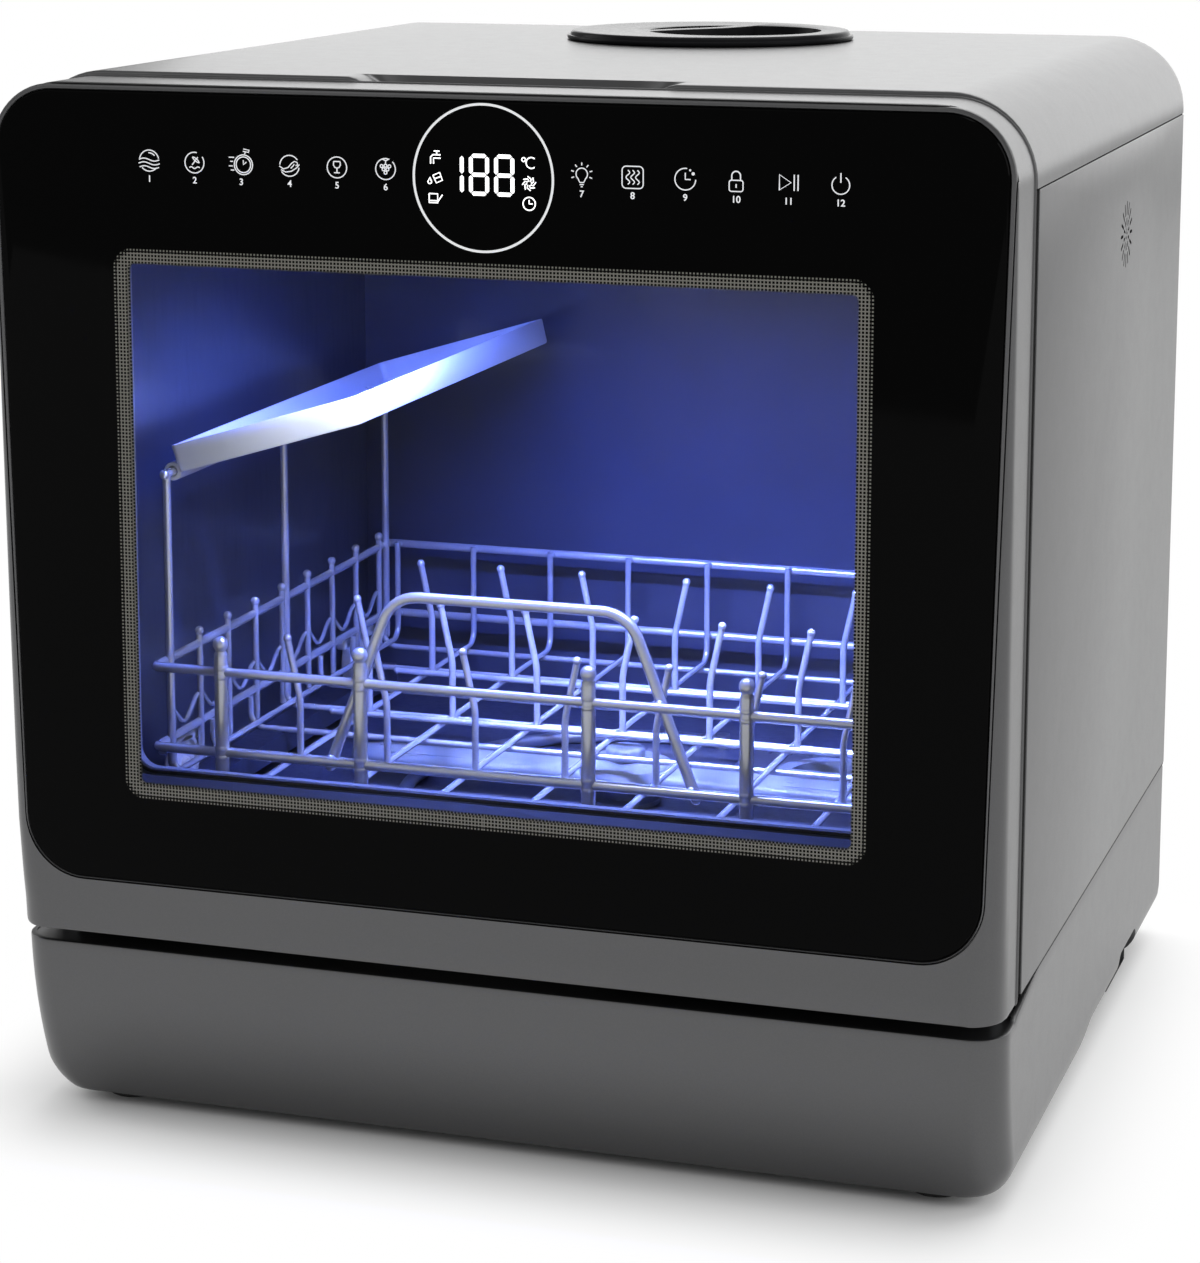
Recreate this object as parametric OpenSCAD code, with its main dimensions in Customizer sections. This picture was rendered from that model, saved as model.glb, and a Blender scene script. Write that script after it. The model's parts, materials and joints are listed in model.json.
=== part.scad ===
// Countertop dishwasher: +Z up, the door faces -Y, the origin is at the middle of the footprint on the table.

/* [Casing] */
// Width of the machine
body_w = 420; // [400:1:520]
// Depth from the door glass to the rear edge of the casing
body_d = 400; // [380:1:500]
// Height from the table to the casing top
body_h = 440; // [420:1:540]
// Thickness of the casing panels
panel_t = 2; // [1.5:0.1:3]
// Radius where the top turns down into the sides
top_r = 34; // [24:1:35]
// Height of the top cover's side skirt
skirt_h = 36; // [36:1:50]
// How far the back panel sits in from the rear edge
back_inset = 13; // [12.5:0.5:16]

/* [Base] */
// Height of the base along its sides
base_h = 86; // [84:1:100]
// Height of the base's front edge, under the door
base_front_h = 78; // [76:1:80]
// How far the base front sits behind the glass
base_setback = 5; // [4:1:10]
// Radius of the curve that the base front leans back on
lean_r = 175; // [150:5:300]
// Rounding under the base sides
base_r = 24; // [10:1:30]
// Plan radius of the base corners
corner_r = 20; // [8:1:24]
// Wall of the base moulding
base_t = 2.5; // [2:0.1:3.5]
// Height of the feet
foot_h = 5; // [4:0.5:10]
// Diameter of the feet
foot_d = 24; // [18:1:30]
// Length of a hand grip under each side of the base
grip_len = 46; // [40:1:90]
// Height of a hand grip above the base's lower edge
grip_h = 14; // [10:1:18]
// How far a hand grip reaches in under the machine
grip_in = 20; // [15:1:24]
// Length of a vent slot in the underside
vent_slot = 50; // [30:1:60]

/* [Door] */
// Thickness of the door
door_t = 33; // [32:0.5:36]
// Gap between the back of the door and the casing
door_gap = 2; // [1.8:0.1:3]
// Gap between the door and the base front below it
door_lift = 6; // [6:0.5:9]
// Drop from the casing top to the door top
door_drop = 1.5; // [1:0.5:4]
// Radius of the upper door corners
door_r = 32; // [20:1:34]
// Radius of the lower door corners
door_low_r = 10; // [6:1:14]
// Wall of the door frame
door_wall = 3; // [2.5:0.1:3.5]
// Thickness of the glass
glass_t = 3; // [2.5:0.1:4]
// Frame border beside the glass
border_side = 5; // [4:0.5:8]
// Frame border above the glass
border_top = 3.7; // [3:0.1:8]
// Frame border below the glass
border_low = 25; // [20:1:30]
// Radius of the glass corners
glass_r = 25; // [10:1:28]
// Width of the window
window_w = 300; // [240:1:330]
// Lower edge of the window above the table
window_z0 = 151; // [148:1:170]
// Upper edge of the window above the table
window_z1 = 366; // [300:1:372]

/* [Controls] */
// Height of the middle of the display
display_z = 405; // [396:1:408]
// Diameter of the display ring
display_d = 58; // [50:1:60]
// Distance between touch keys
key_pitch = 20.6; // [18:0.1:22]
// Distance from the middle to the first touch key
key_start = 39.8; // [36:0.1:42]
// Number of touch keys on each side
key_count = 6; // [4:1:6]
// Diameter of a touch pad
pad_d = 12; // [8:0.5:14]

/* [Hinge] */
// Distance from the door's lower edge up to the hinge axis
axis_up = 8; // [7.5:0.5:9]
// Distance from the glass back to the hinge axis
axis_back = 10; // [9:0.5:12]
// Diameter of the hinge pins
pin_d = 6; // [5:0.1:6.5]
// Thickness of the hinge arms
arm_t = 4; // [3:0.5:5]

/* [Tub] */
// Thickness of the tub walls
tub_t = 2; // [1.5:0.1:3]
// Gap between the tub and the casing sides
tub_side_gap = 23; // [22:0.5:30]
// Height of the tub floor above the table
tub_floor = 106; // [104:1:110]
// Depth of the tub
tub_depth = 300; // [270:1:340]
// Gap between the tub and the casing top
tub_top_gap = 36; // [36:1:50]
// Height of the rails that the basket runs on, above the tub floor
rail_h = 16; // [12:1:20]

/* [Basket] */
// Width of the basket
basket_w = 338; // [300:1:340]
// Depth of the basket
basket_d = 270; // [230:1:275]
// Height of the basket floor above the tub floor
basket_lift = 34; // [32:1:40]
// Height of the lower rail above the basket floor
rail_low = 12; // [10:1:16]
// Height of the upper rail above the basket floor
rail_top = 47; // [40:1:60]
// Diameter of the rails
rail_d = 4.2; // [3.5:0.1:5]
// Diameter of the thin wires
wire_d = 3; // [2:0.1:3.5]
// Diameter of the thick posts
post_d = 6; // [5:0.1:8]
// Distance between the floor wires
wire_pitch = 40; // [24:1:42]
// Height of the tines above the basket floor
tine_h = 56; // [36:1:64]
// Height of the kink in the tines above the basket floor
tine_kink = 28; // [20:1:32]
// Lean of the tines above the kink
tine_lean = 11; // [0:1:16]
// Height of the basket handle above the basket floor
handle_h = 84; // [60:1:100]
// Length of the glides that the basket slides on
glide_len = 38; // [30:1:46]

/* [Cup shelf] */
// Width of the cup shelf
shelf_w = 92; // [60:1:110]
// Length of the cup shelf, front to back
shelf_len = 245; // [180:1:250]
// Height of the shelf's hinge rod above the basket floor
shelf_up = 128; // [100:1:140]
// Slope of the shelf in use
shelf_tilt = 17; // [0:1:25]
// Height of the shelf's rim
shelf_rim = 9; // [4:0.5:10]

/* [Water] */
// Radius of the spray arm
spray_r = 132; // [100:1:134]
// Diameter of the fill cap
cap_d = 134; // [120:1:150]
// Height of the fill cap above the casing
cap_h = 4.4; // [3:0.1:8]
// Distance from the middle of the fill cap to the rear edge
cap_back = 83; // [80:1:100]
// Diameter of the fill opening
fill_d = 112; // [100:1:116]
// Depth of the water tank, front to back
tank_d = 42; // [30:1:42]
// Diameter of the drain spigot
drain_d = 19; // [15:0.5:22]
// Diameter of the water inlet connector
inlet_d = 26.4; // [20:0.1:27]
// Bore of the cord gland
cord_d = 8.2; // [6:0.1:10]

/* [Drying fan] */
// Distance from the middle of the fan vent to the rear edge
vent_back = 157; // [120:1:200]
// Distance from the middle of the fan vent to the casing top
vent_drop = 76; // [60:1:120]
// Diameter of the vent rosette
vent_d = 29; // [24:1:40]
// Outer radius of the fan wheel
fan_r = 24; // [18:1:28]

/* [Fits] */
// Clearance between pieces that do not move on each other
fit = 0.3; // [0.2:0.05:0.5]
// Radial clearance of shafts and pins
run = 0.05; // [0.03:0.01:0.1]

/* [Hidden] */
$fn = 72;
slack = 1;

// Colours
paint = "#77787a";
black = "#17181a";
steel = "#c4c7ca";

// Outer faces of the casing
side_x = body_w / 2;
front_y = -body_d / 2;
rear_y = body_d / 2;
case_y = front_y + door_t + door_gap;
seam_z = body_h - skirt_h;
back_y = rear_y - back_inset;

// Door outline
door_y1 = front_y + door_t;
door_z0 = base_front_h + door_lift;
door_z1 = body_h - door_drop;
glass_x = side_x - border_side;
glass_z0 = door_z0 + border_low;
glass_z1 = door_z1 - border_top;
web_t = 2;
web_y0 = front_y + glass_t;
web_y1 = web_y0 + web_t;
liner_t = 2;
liner_step = 3;
liner_y = door_y1 + liner_step;
axis_y = front_y + axis_back;
axis_z = door_z0 + axis_up;
window_r = 8;

// Hinge arms and their slots in the door
arm_eye_r = 5;
arm_x0 = side_x - 11;
slot_x0 = arm_x0 - fit;
slot_x1 = arm_x0 + arm_t + fit;
slot_z1 = axis_z + arm_eye_r + 0.5;
slot_y0 = axis_y - arm_eye_r - 0.5;
lug_x0 = arm_x0 - 10;
lug_x1 = side_x - door_wall;
lug_h = 7;
arm_back_y = case_y + 24;

// Tub
tub_x = side_x - panel_t - tub_side_gap;
frame_t = 3;
tub_y0 = case_y + frame_t;
tub_y1 = tub_y0 + tub_depth;
tub_z0 = tub_floor - tub_t;
tub_z1 = body_h - tub_top_gap;
mouth_x = tub_x - 9;
mouth_z0 = tub_floor + 4;
mouth_z1 = tub_z1 - 6;
mouth_r = 14;
seal_w = 7;
rail_in = 17;
rail_t = 10;
middle_y = (tub_y0 + tub_y1) / 2;

// Basket
floor_z = tub_floor + basket_lift;
basket_x = basket_w / 2;
basket_y0 = case_y + 17;
basket_y1 = basket_y0 + basket_d;
wire_r = wire_d / 2;
rail_r = rail_d / 2;
post_r = post_d / 2;
weld = 0.4;
low_z = floor_z + rail_low;
top_z = floor_z + rail_top;
glide_t = 5;
post_ball = 0.3;
posts = [-136, -73, 27, 94];
handle_mid = -9;
handle_foot = 79;
handle_top = 51;
handle_r = 2.4;
bend_bulge = 0.2;

// Cup shelf
shelf_rod_x = -basket_x + 4;
shelf_z = floor_z + shelf_up;
shelf_y0 = basket_y0 + 15;
shelf_y1 = shelf_y0 + shelf_len;
shelf_t = 2;
barrel_r = 4;
rod_stations = [shelf_y0 - 3, (shelf_y0 + shelf_y1) / 2, shelf_y1 + 3];
rod_r = 2;

// Water ways
cap_y = rear_y - cap_back;
cap_lift_gap = 0.2;
collar_t = 2;
fill_r = fill_d / 2;
plug_r = fill_r - 3;
plug_depth = 14;
lug_z0 = body_h - 10.5;
lug_z1 = body_h - 6.5;
ledge_z1 = body_h - 4;
lug_arc = 24;
tank_y1 = back_y - fit;
tank_y0 = tank_y1 - tank_d;
tank_z0 = 150;
tank_z1 = tub_z1;
tank_x = side_x - panel_t - 16;
tank_t = 2;
neck_x = 36;
neck_y0 = tank_y0 + 8;
neck_y1 = tank_y1 - 6;
collar_z0 = tub_z1 + 3;
spray_z0 = tub_floor + 9;
spray_t = 8;
hub_r = 11;
hub_bore = 5;
heater_r = 100;
heater_tube = 3;
leg_r = 3.5;
heater_leg = 14;
heater_a0 = 80;
heater_a1 = 290;
filter_x = 82;
filter_y = middle_y + 60;
filter_r = 28;
sump_x0 = 22;
sump_x1 = 122;
sump_y0 = middle_y - 45;
sump_y1 = middle_y + 100;
sump_z0 = 66;
sump_t = 2.5;
pump_y = middle_y - 10;
pump_z = 38;
pump_x0 = 30;
pump_r = 24;
pump_inlet_x = pump_x0 + 14;
outlet_y = pump_y - pump_r - 12;
outlet_z = pump_z + 12;
pipe_r = 7;
spigot_z = 120;
drain_x = 150;
inlet_x = 105;
gland_x = -150;

// Fan
vent_y = rear_y - vent_back;
vent_z = body_h - vent_drop;
fan_x0 = tub_x + 3;
fan_x1 = side_x - panel_t - 2;
fan_box = fan_r + 4;

// Box between two corners
module block(x0, x1, y0, y1, z0, z1) {
    translate([x0, y0, z0]) cube([x1 - x0, y1 - y0, z1 - z0]);
}

// Outline in X and Z, extruded along Y
module along_y(y0, y1) {
    translate([0, y1, 0]) rotate([90, 0, 0]) linear_extrude(y1 - y0) children();
}

// Outline in Y and Z, extruded along X
module along_x(x0, x1) {
    translate([x0, 0, 0]) rotate([90, 0, 90]) linear_extrude(x1 - x0) children();
}

// Rectangle with one radius at its lower corners and one at its upper corners
module rounded(x0, x1, z0, z1, low_r, high_r) {
    difference() {
        translate([x0, z0]) square([x1 - x0, z1 - z0]);
        for (s = [0, 1]) {
            translate([s ? x1 - low_r : x0 + low_r, z0 + low_r]) corner_cut(low_r, s ? 1 : -1, -1);
            translate([s ? x1 - high_r : x0 + high_r, z1 - high_r]) corner_cut(high_r, s ? 1 : -1, 1);
        }
    }
}

// What a radius takes off one corner, seen from the middle of its arc
module corner_cut(r, sx, sz) {
    difference() {
        translate([sx > 0 ? 0 : -r - slack, sz > 0 ? 0 : -r - slack]) square(r + slack);
        circle(r);
    }
}

// Straight rod between two points that share two coordinates
module rod_x(x0, x1, y, z, r) {
    translate([x0, y, z]) rotate([0, 90, 0]) cylinder(r = r, h = x1 - x0, $fn = 24);
}
module rod_y(x, y0, y1, z, r) {
    translate([x, y1, z]) rotate([90, 0, 0]) cylinder(r = r, h = y1 - y0, $fn = 24);
}
module rod_z(x, y, z0, z1, r) {
    translate([x, y, z0]) cylinder(r = r, h = z1 - z0, $fn = 24);
}

// Rod in the XZ plane between two points
module rod_slant(x0, z0, x1, z1, y, r) {
    dx = x1 - x0;
    dz = z1 - z0;
    translate([x0, y, z0]) rotate([0, atan2(dx, dz), 0]) cylinder(r = r, h = norm([dx, dz]), $fn = 24);
}

// Ring about a vertical axis
module ring(r0, r1, z0, z1) {
    translate([0, 0, z0]) difference() {
        cylinder(r = r1, h = z1 - z0);
        translate([0, 0, -slack]) cylinder(r = r0, h = z1 - z0 + 2 * slack);
    }
}

// ---- casing ----

// Solid envelope of the base, drawn in by an inset; its front leans back on one large arc
base_tuck = 3;
rear_r = 4;
module base_envelope(inset, z0, z1) {
    intersection() {
        along_x(-side_x + inset, side_x - inset) difference() {
            translate([front_y, z0]) square([body_d - inset, z1 - z0]);
            difference() {
                translate([front_y - slack, z0 - slack]) square([lean_r, z1 - z0 + 2 * slack]);
                translate([front_y + base_setback + lean_r, base_h]) circle(lean_r - inset, $fn = 180);
                translate([front_y + base_setback + lean_r / 2, z0 - slack])
                    square([lean_r, z1 - z0 + 2 * slack]);
            }
        }
        along_y(front_y, rear_y - inset) rounded(-side_x + inset, side_x - inset,
            foot_h - base_tuck, base_h + base_r + slack, base_r, 1);
        translate([0, 0, z0]) linear_extrude(z1 - z0)
            rounded(-side_x + inset, side_x - inset, front_y + base_setback + inset,
                rear_y - inset, corner_r - inset, rear_r);
    }
}

module base_housing() {
    color(paint) difference() {
        union() {
            difference() {
                base_envelope(0, foot_h, base_h);
                base_envelope(base_t, foot_h - slack, base_h + slack);
                block(-side_x - slack, side_x + slack, front_y - slack, case_y, base_front_h, base_h + slack);
            }
            intersection() {
                base_envelope(0, foot_h, base_h);
                block(-side_x, side_x, front_y, case_y + base_t, base_front_h - base_t, base_front_h);
            }
            intersection() {
                base_envelope(0, foot_h, base_h);
                block(-side_x, side_x, back_y - 1, rear_y, base_h - base_t, base_h);
            }
            for (s = [-1, 1]) grip_pocket(s);
        }
        for (s = [-1, 1]) grip_hollow(s);
    }
}

// Hand grip: a pocket in each side of the base, open below
grip_y0 = 82;
grip_r = 6;
grip_low_r = 0.5;
module grip_hollow(s) {
    x0 = s > 0 ? side_x - grip_in : -side_x - slack;
    along_x(x0, x0 + grip_in + slack)
        rounded(grip_y0, grip_y0 + grip_len, foot_h - slack, foot_h + grip_h, grip_low_r, grip_r);
}
module grip_pocket(s) {
    intersection() {
        base_envelope(0, foot_h, base_h);
        translate([s > 0 ? -base_t : 0, 0, 0])
            along_x(s > 0 ? side_x - grip_in : -side_x, s > 0 ? side_x : -side_x + grip_in + base_t)
            rounded(grip_y0 - base_t, grip_y0 + grip_len + base_t, foot_h, foot_h + grip_h + base_t,
                grip_low_r, grip_r + base_t);
    }
}

// Flat tray that closes the underside, with rows of vent slots
plate_x = side_x - 18;
plate_y0 = front_y + base_setback + 26;
plate_y1 = rear_y - base_t - fit;
plate_r = 12;
plate_top = foot_h + base_t;
foot_in = 15;
foot_stem_d = 6;
slot_pitch = 12;
slot_w = 4;
slot_half = 5;
slot_row_y = 90;
module base_plate() {
    grip_side = side_x - grip_in - base_t - fit;
    color(black) difference() {
        translate([0, 0, foot_h]) linear_extrude(base_t)
            rounded(-plate_x, plate_x, plate_y0, plate_y1, plate_r, 1);
        for (s = [-1, 1]) block(s > 0 ? grip_side : -side_x, s > 0 ? side_x : -grip_side,
            grip_y0 - base_t - fit, grip_y0 + grip_len + base_t + fit, 0, plate_top + slack);
        for (x = [-slot_half : slot_half], y = [-slot_row_y, slot_row_y])
            block(x * slot_pitch - slot_w / 2, x * slot_pitch + slot_w / 2,
                y - vent_slot / 2, y + vent_slot / 2, 0, plate_top + slack);
        for (x = [-1, 1], y = [plate_y0 + foot_in, plate_y1 - foot_in])
            translate([x * (plate_x - foot_in), y, 0])
            cylinder(d = foot_stem_d + 2 * run, h = plate_top + slack);
    }
}

module feet() {
    color("#2a2a2c") for (x = [-1, 1], y = [plate_y0 + foot_in, plate_y1 - foot_in])
        translate([x * (plate_x - foot_in), y, 0]) {
            cylinder(d = foot_d, h = foot_h);
            cylinder(d = foot_stem_d, h = plate_top + slack);
        }
}

module side_sheet(s) {
    x0 = s > 0 ? side_x - panel_t : -side_x;
    block(x0, x0 + panel_t, case_y, rear_y, base_h, seam_z);
}

module side_panel_left() { color(paint) side_sheet(-1); }

module side_panel_right() {
    color(paint) difference() {
        side_sheet(1);
        translate([side_x - panel_t - slack, vent_y, vent_z]) rotate([0, 90, 0]) rosette();
    }
}

// Rosette of radial slots in three rings
module rosette() {
    outer = vent_d / 2;
    for (i = [0 : 15]) rotate([0, 0, i * 22.5])
        translate([outer * 0.62, -0.6, 0]) cube([outer * 0.38, 1.2, panel_t + 2 * slack]);
    for (i = [0 : 9]) rotate([0, 0, i * 36])
        translate([outer * 0.3, -0.7, 0]) cube([outer * 0.24, 1.4, panel_t + 2 * slack]);
    for (i = [0 : 4]) rotate([0, 0, i * 72])
        translate([outer * 0.14, 0, 0]) cylinder(r = 0.7, h = panel_t + 2 * slack, $fn = 16);
}

// Scoop behind the door's top edge, for the fingers
scoop_x = 64;
scoop_d = 15;
scoop_h = 13;
module top_cover() {
    color(paint) difference() {
        union() {
            along_y(case_y, rear_y) difference() {
                rounded(-side_x, side_x, seam_z, body_h, 0.01, top_r);
                rounded(-side_x + panel_t, side_x - panel_t, seam_z - slack, body_h - panel_t, 0.01,
                    top_r - panel_t);
            }
            block(-scoop_x - panel_t, scoop_x + panel_t, case_y, case_y + scoop_d + panel_t,
                body_h - scoop_h - panel_t, body_h - panel_t / 2);
        }
        block(-scoop_x, scoop_x, case_y - slack, case_y + scoop_d, body_h - scoop_h, body_h + slack);
        translate([0, cap_y, body_h - panel_t - slack])
            cylinder(r = fill_r + collar_t + fit, h = panel_t + 2 * slack);
    }
}

// Back panel, inset, with vents and holes for the fittings
vent_half = 7;
vent_pitch = 14;
vent_w = 3;
vent_z0 = body_h - 60;
vent_z1 = body_h - 45;
module back_panel() {
    color(black) difference() {
        along_y(back_y, back_y + panel_t)
            rounded(-side_x + panel_t + fit, side_x - panel_t - fit, base_h + fit, body_h - panel_t - fit,
                1, top_r - panel_t - fit);
        for (x = [-vent_half : vent_half])
            block(x * vent_pitch - vent_w / 2, x * vent_pitch + vent_w / 2,
                back_y - slack, back_y + panel_t + slack, vent_z0, vent_z1);
        hole_y(drain_x, spigot_z, drain_d / 2 + 2);
        hole_y(inlet_x, spigot_z, inlet_d / 2 + fit);
        hole_y(gland_x, spigot_z, cord_d / 2 + 3);
    }
}
module hole_y(x, z, r) {
    translate([x, back_y + panel_t + slack, z]) rotate([90, 0, 0]) cylinder(r = r, h = panel_t + 2 * slack);
}

// Screws of the back panel
screw_d = 7;
screw_head = 2.2;
screw_in = 12;
cross_l = 4;
cross_w = 1;
module panel_screws() {
    color(steel) for (x = [-1, 1], z = [base_h + screw_in, body_h / 2 + 20, body_h - 40])
        translate([x * (side_x - screw_in), back_y + panel_t + screw_head, z]) rotate([90, 0, 0])
        difference() {
            cylinder(d = screw_d, h = screw_head);
            for (a = [0, 90]) rotate([0, 0, a])
                translate([-cross_l / 2, -cross_w / 2, -slack]) cube([cross_l, cross_w, cross_w + slack]);
        }
}

// Flat surround between the casing and the tub mouth
module front_frame() {
    color(black) difference() {
        along_y(case_y, tub_y0) difference() {
            rounded(-side_x + panel_t + fit, side_x - panel_t - fit, base_h + fit, body_h - panel_t - fit,
                1, top_r - panel_t - fit);
            rounded(-mouth_x, mouth_x, mouth_z0, mouth_z1, mouth_r, mouth_r);
            translate([-scoop_x - panel_t - fit, body_h - scoop_h - panel_t - fit])
                square([2 * (scoop_x + panel_t + fit), scoop_h + panel_t]);
            translate([-latch_x - 1, latch_z0]) square([2 * latch_x + 2, latch_h]);
        }
        for (s = [-1, 1]) block(s > 0 ? slot_x0 : -slot_x1, s > 0 ? slot_x1 : -slot_x0,
            case_y - slack, tub_y0 + slack, base_h - slack, slot_z1);
    }
}

// ---- tub ----

module tub() {
    color("#8b9097") difference() {
        union() {
            block(-tub_x, tub_x, tub_y0, tub_y1, tub_z0, tub_z1);
            along_y(tub_y0, tub_y0 + 2) rounded(-tub_x - 6, tub_x + 6, tub_z0 - 5, tub_z1, 4, 4);
        }
        difference() {
            along_y(tub_y0 + 4, tub_y1 - tub_t)
                rounded(-tub_x + tub_t, tub_x - tub_t, tub_floor, tub_z1 - tub_t, 10, 10);
            for (s = [-1, 1])
                block(s > 0 ? tub_x - rail_in : -tub_x, s > 0 ? tub_x : -tub_x + rail_in,
                    tub_y0 + 4, tub_y1, tub_floor + rail_h - rail_t, tub_floor + rail_h);
        }
        along_y(tub_y0 - slack, tub_y0 + 4 + slack)
            rounded(-mouth_x, mouth_x, mouth_z0, mouth_z1, mouth_r, mouth_r);
        translate([0, middle_y, tub_z0 - slack]) cylinder(r = hub_r + fit, h = tub_t + 2 * slack);
        translate([filter_x, filter_y, tub_z0 - slack]) cylinder(r = filter_r, h = tub_t + 2 * slack);
        for (a = [heater_a0, heater_a1]) translate([0, middle_y, tub_z0 - slack]) rotate([0, 0, a])
            translate([heater_r, 0, 0]) cylinder(r = leg_r + run, h = tub_t + 2 * slack);
        translate([tub_x - tub_t - slack, vent_y, vent_z]) rotate([0, 90, 0])
            cylinder(r = fan_r - 6, h = tub_t + 2 * slack);
        block(-light_x - fit, light_x + fit, light_y0 - fit, light_y1 + fit,
            tub_z1 - tub_t - slack, tub_z1 + slack);
    }
}

// Rubber ring round the tub mouth
module tub_seal() {
    color("#2b2c2e") along_y(door_y1 + fit, case_y) difference() {
        rounded(-mouth_x - seal_w, mouth_x + seal_w, mouth_z0 - seal_w, mouth_z1 + seal_w,
            mouth_r + seal_w, mouth_r + seal_w);
        rounded(-mouth_x, mouth_x, mouth_z0, mouth_z1, mouth_r, mouth_r);
    }
}

// Strip light in the tub ceiling: a housing above it and a lens that shows inside
light_x = 110;
light_y0 = case_y + 30;
light_y1 = light_y0 + 26;
light_t = 1.5;
module light_housing() {
    color("#e8e8e8") difference() {
        union() {
            block(-light_x - 4, light_x + 4, light_y0 - 4, light_y1 + 4, tub_z1, tub_z1 + 2);
            block(-light_x, light_x, light_y0, light_y1, tub_z1 - tub_t, tub_z1 + 2.8);
        }
        block(-light_x + light_t, light_x - light_t, light_y0 + light_t, light_y1 - light_t,
            tub_z1 - tub_t - slack, tub_z1 + 1);
    }
}
module light_lens() {
    color("#bcd0ff") block(-light_x + light_t, light_x - light_t, light_y0 + light_t, light_y1 - light_t,
        tub_z1 - tub_t, tub_z1 - 0.5);
}

// ---- water tank and its filler ----

module water_tank() {
    color("#dfe3e6") difference() {
        block(-tank_x, tank_x, tank_y0, tank_y1, tank_z0, tank_z1);
        block(-tank_x + tank_t, tank_x - tank_t, tank_y0 + tank_t, tank_y1 - tank_t,
            tank_z0 + tank_t, tank_z1 - tank_t);
        block(-neck_x, neck_x, neck_y0, neck_y1, tank_z1 - tank_t - slack, tank_z1 + slack);
    }
}

// Bowl under the fill opening, with a chute that runs back into the tank
module fill_collar() {
    color("#3a3c3f") {
        difference() {
            union() {
                translate([0, cap_y, collar_z0]) cylinder(r = fill_r + collar_t, h = body_h - collar_z0);
                block(-neck_x - collar_t, neck_x + collar_t, cap_y, neck_y1 + collar_t,
                    collar_z0, body_h - panel_t - 6);
                block(-neck_x - collar_t, neck_x + collar_t, neck_y0 - collar_t, neck_y1 + collar_t,
                    tank_z1, collar_z0 + 1);
            }
            translate([0, cap_y, collar_z0 + collar_t]) cylinder(r = fill_r, h = body_h);
            block(-neck_x, neck_x, cap_y, neck_y1, collar_z0 + collar_t, body_h - panel_t - 8);
            block(-neck_x, neck_x, neck_y0, neck_y1, tank_z1 - slack, collar_z0 + 3);
        }
        translate([0, cap_y, lug_z1 + fit]) for (i = [0 : 2]) rotate([0, 0, i * 120 + lug_arc + 6])
            rotate_extrude(angle = 120 - 2 * lug_arc)
            translate([plug_r + 0.4, 0]) square([fill_r - plug_r, ledge_z1 - lug_z1 - fit]);
    }
}

// Round finger hollow in the cap, which a slanting bridge parts into a small and a large one
cap_z0 = body_h + cap_lift_gap;
cap_rim = 2;
cap_rim_h = 1.4;
hollow_r = plug_r - 14;
hollow_x = 11.5;
bridge_w = 9;
bridge_x = -10.5;
bridge_y = 12;
bridge_turn = 58;
module cap_hollows() {
    deep = plug_depth + cap_h;
    translate([0, 0, body_h - plug_depth + cap_rim]) difference() {
        translate([hollow_x, 0, 0]) cylinder(r = hollow_r, h = deep);
        translate([bridge_x, bridge_y, -slack]) rotate([0, 0, bridge_turn])
            translate([-cap_d, -bridge_w / 2, 0]) cube([2 * cap_d, bridge_w, deep + 2 * slack]);
    }
}
module fill_cap() {
    color(black) translate([0, cap_y, 0]) difference() {
        union() {
            translate([0, 0, cap_z0]) cylinder(r = cap_d / 2, h = cap_h - cap_lift_gap - cap_rim_h);
            translate([0, 0, cap_z0]) cylinder(r = cap_d / 2 - cap_rim, h = cap_h - cap_lift_gap);
        }
        cap_hollows();
    }
}
// The cap's inner part: the cup of the hollows and three bayonet lugs
module cap_plug() {
    color(black) translate([0, cap_y, 0]) {
        difference() {
            translate([0, 0, body_h - plug_depth]) cylinder(r = plug_r, h = plug_depth + cap_lift_gap);
            cap_hollows();
        }
        for (i = [0 : 2]) rotate([0, 0, i * 120]) translate([0, 0, lug_z0])
            rotate_extrude(angle = lug_arc)
            translate([plug_r - 0.5, 0]) square([fill_r - plug_r + 0.1, lug_z1 - lug_z0]);
    }
}

module cap_seal() {
    color("#3b3b3d") translate([0, cap_y, 0]) ring(plug_r + run, fill_r - run, ledge_z1 + 0.4, body_h);
}

// ---- door ----

module door_frame() {
    color(paint) difference() {
        union() {
            along_y(front_y + 0.4, door_y1) difference() {
                rounded(-side_x, side_x, door_z0, door_z1, door_low_r, door_r);
                rounded(-side_x + door_wall, side_x - door_wall, door_z0 + door_wall, door_z1 - door_wall,
                    door_low_r - door_wall, door_r - door_wall);
            }
            along_y(front_y + 0.4, web_y1)
                rounded(-side_x + slack, side_x - slack, door_z0 + slack, door_z1 - slack, door_low_r - slack,
                    door_r - slack);
            for (s = [-1, 1]) block(s > 0 ? lug_x0 : -lug_x1 - 1, s > 0 ? lug_x1 + 1 : -lug_x0,
                front_y + 2, door_y1 - liner_t - fit, door_z0 + 1, axis_z + lug_h);
        }
        along_y(front_y - slack, web_y0) glass_outline(0);
        along_y(web_y0 - slack, web_y1 + slack) inner_outline(3);
        for (s = [-1, 1]) {
            block(s > 0 ? slot_x0 : -slot_x1, s > 0 ? slot_x1 : -slot_x0,
                slot_y0, door_y1 + slack, door_z0 - slack, slot_z1);
            translate([s > 0 ? lug_x0 + 2 : -lug_x1, axis_y, axis_z]) rotate([0, 90, 0])
                cylinder(d = pin_d + 2 * run, h = lug_x1 - lug_x0 - 2);
        }
        block(-display_x, display_x, web_y0 - slack, web_y1 + slack,
            display_z - display_h, display_z + display_h);
    }
}
module glass_outline(gap) {
    rounded(-glass_x + gap, glass_x - gap, glass_z0 + gap, glass_z1 - gap, glass_r - gap, glass_r - gap);
}
module door_glass() { color(black, 0.6) along_y(front_y, web_y0) glass_outline(fit); }

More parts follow.
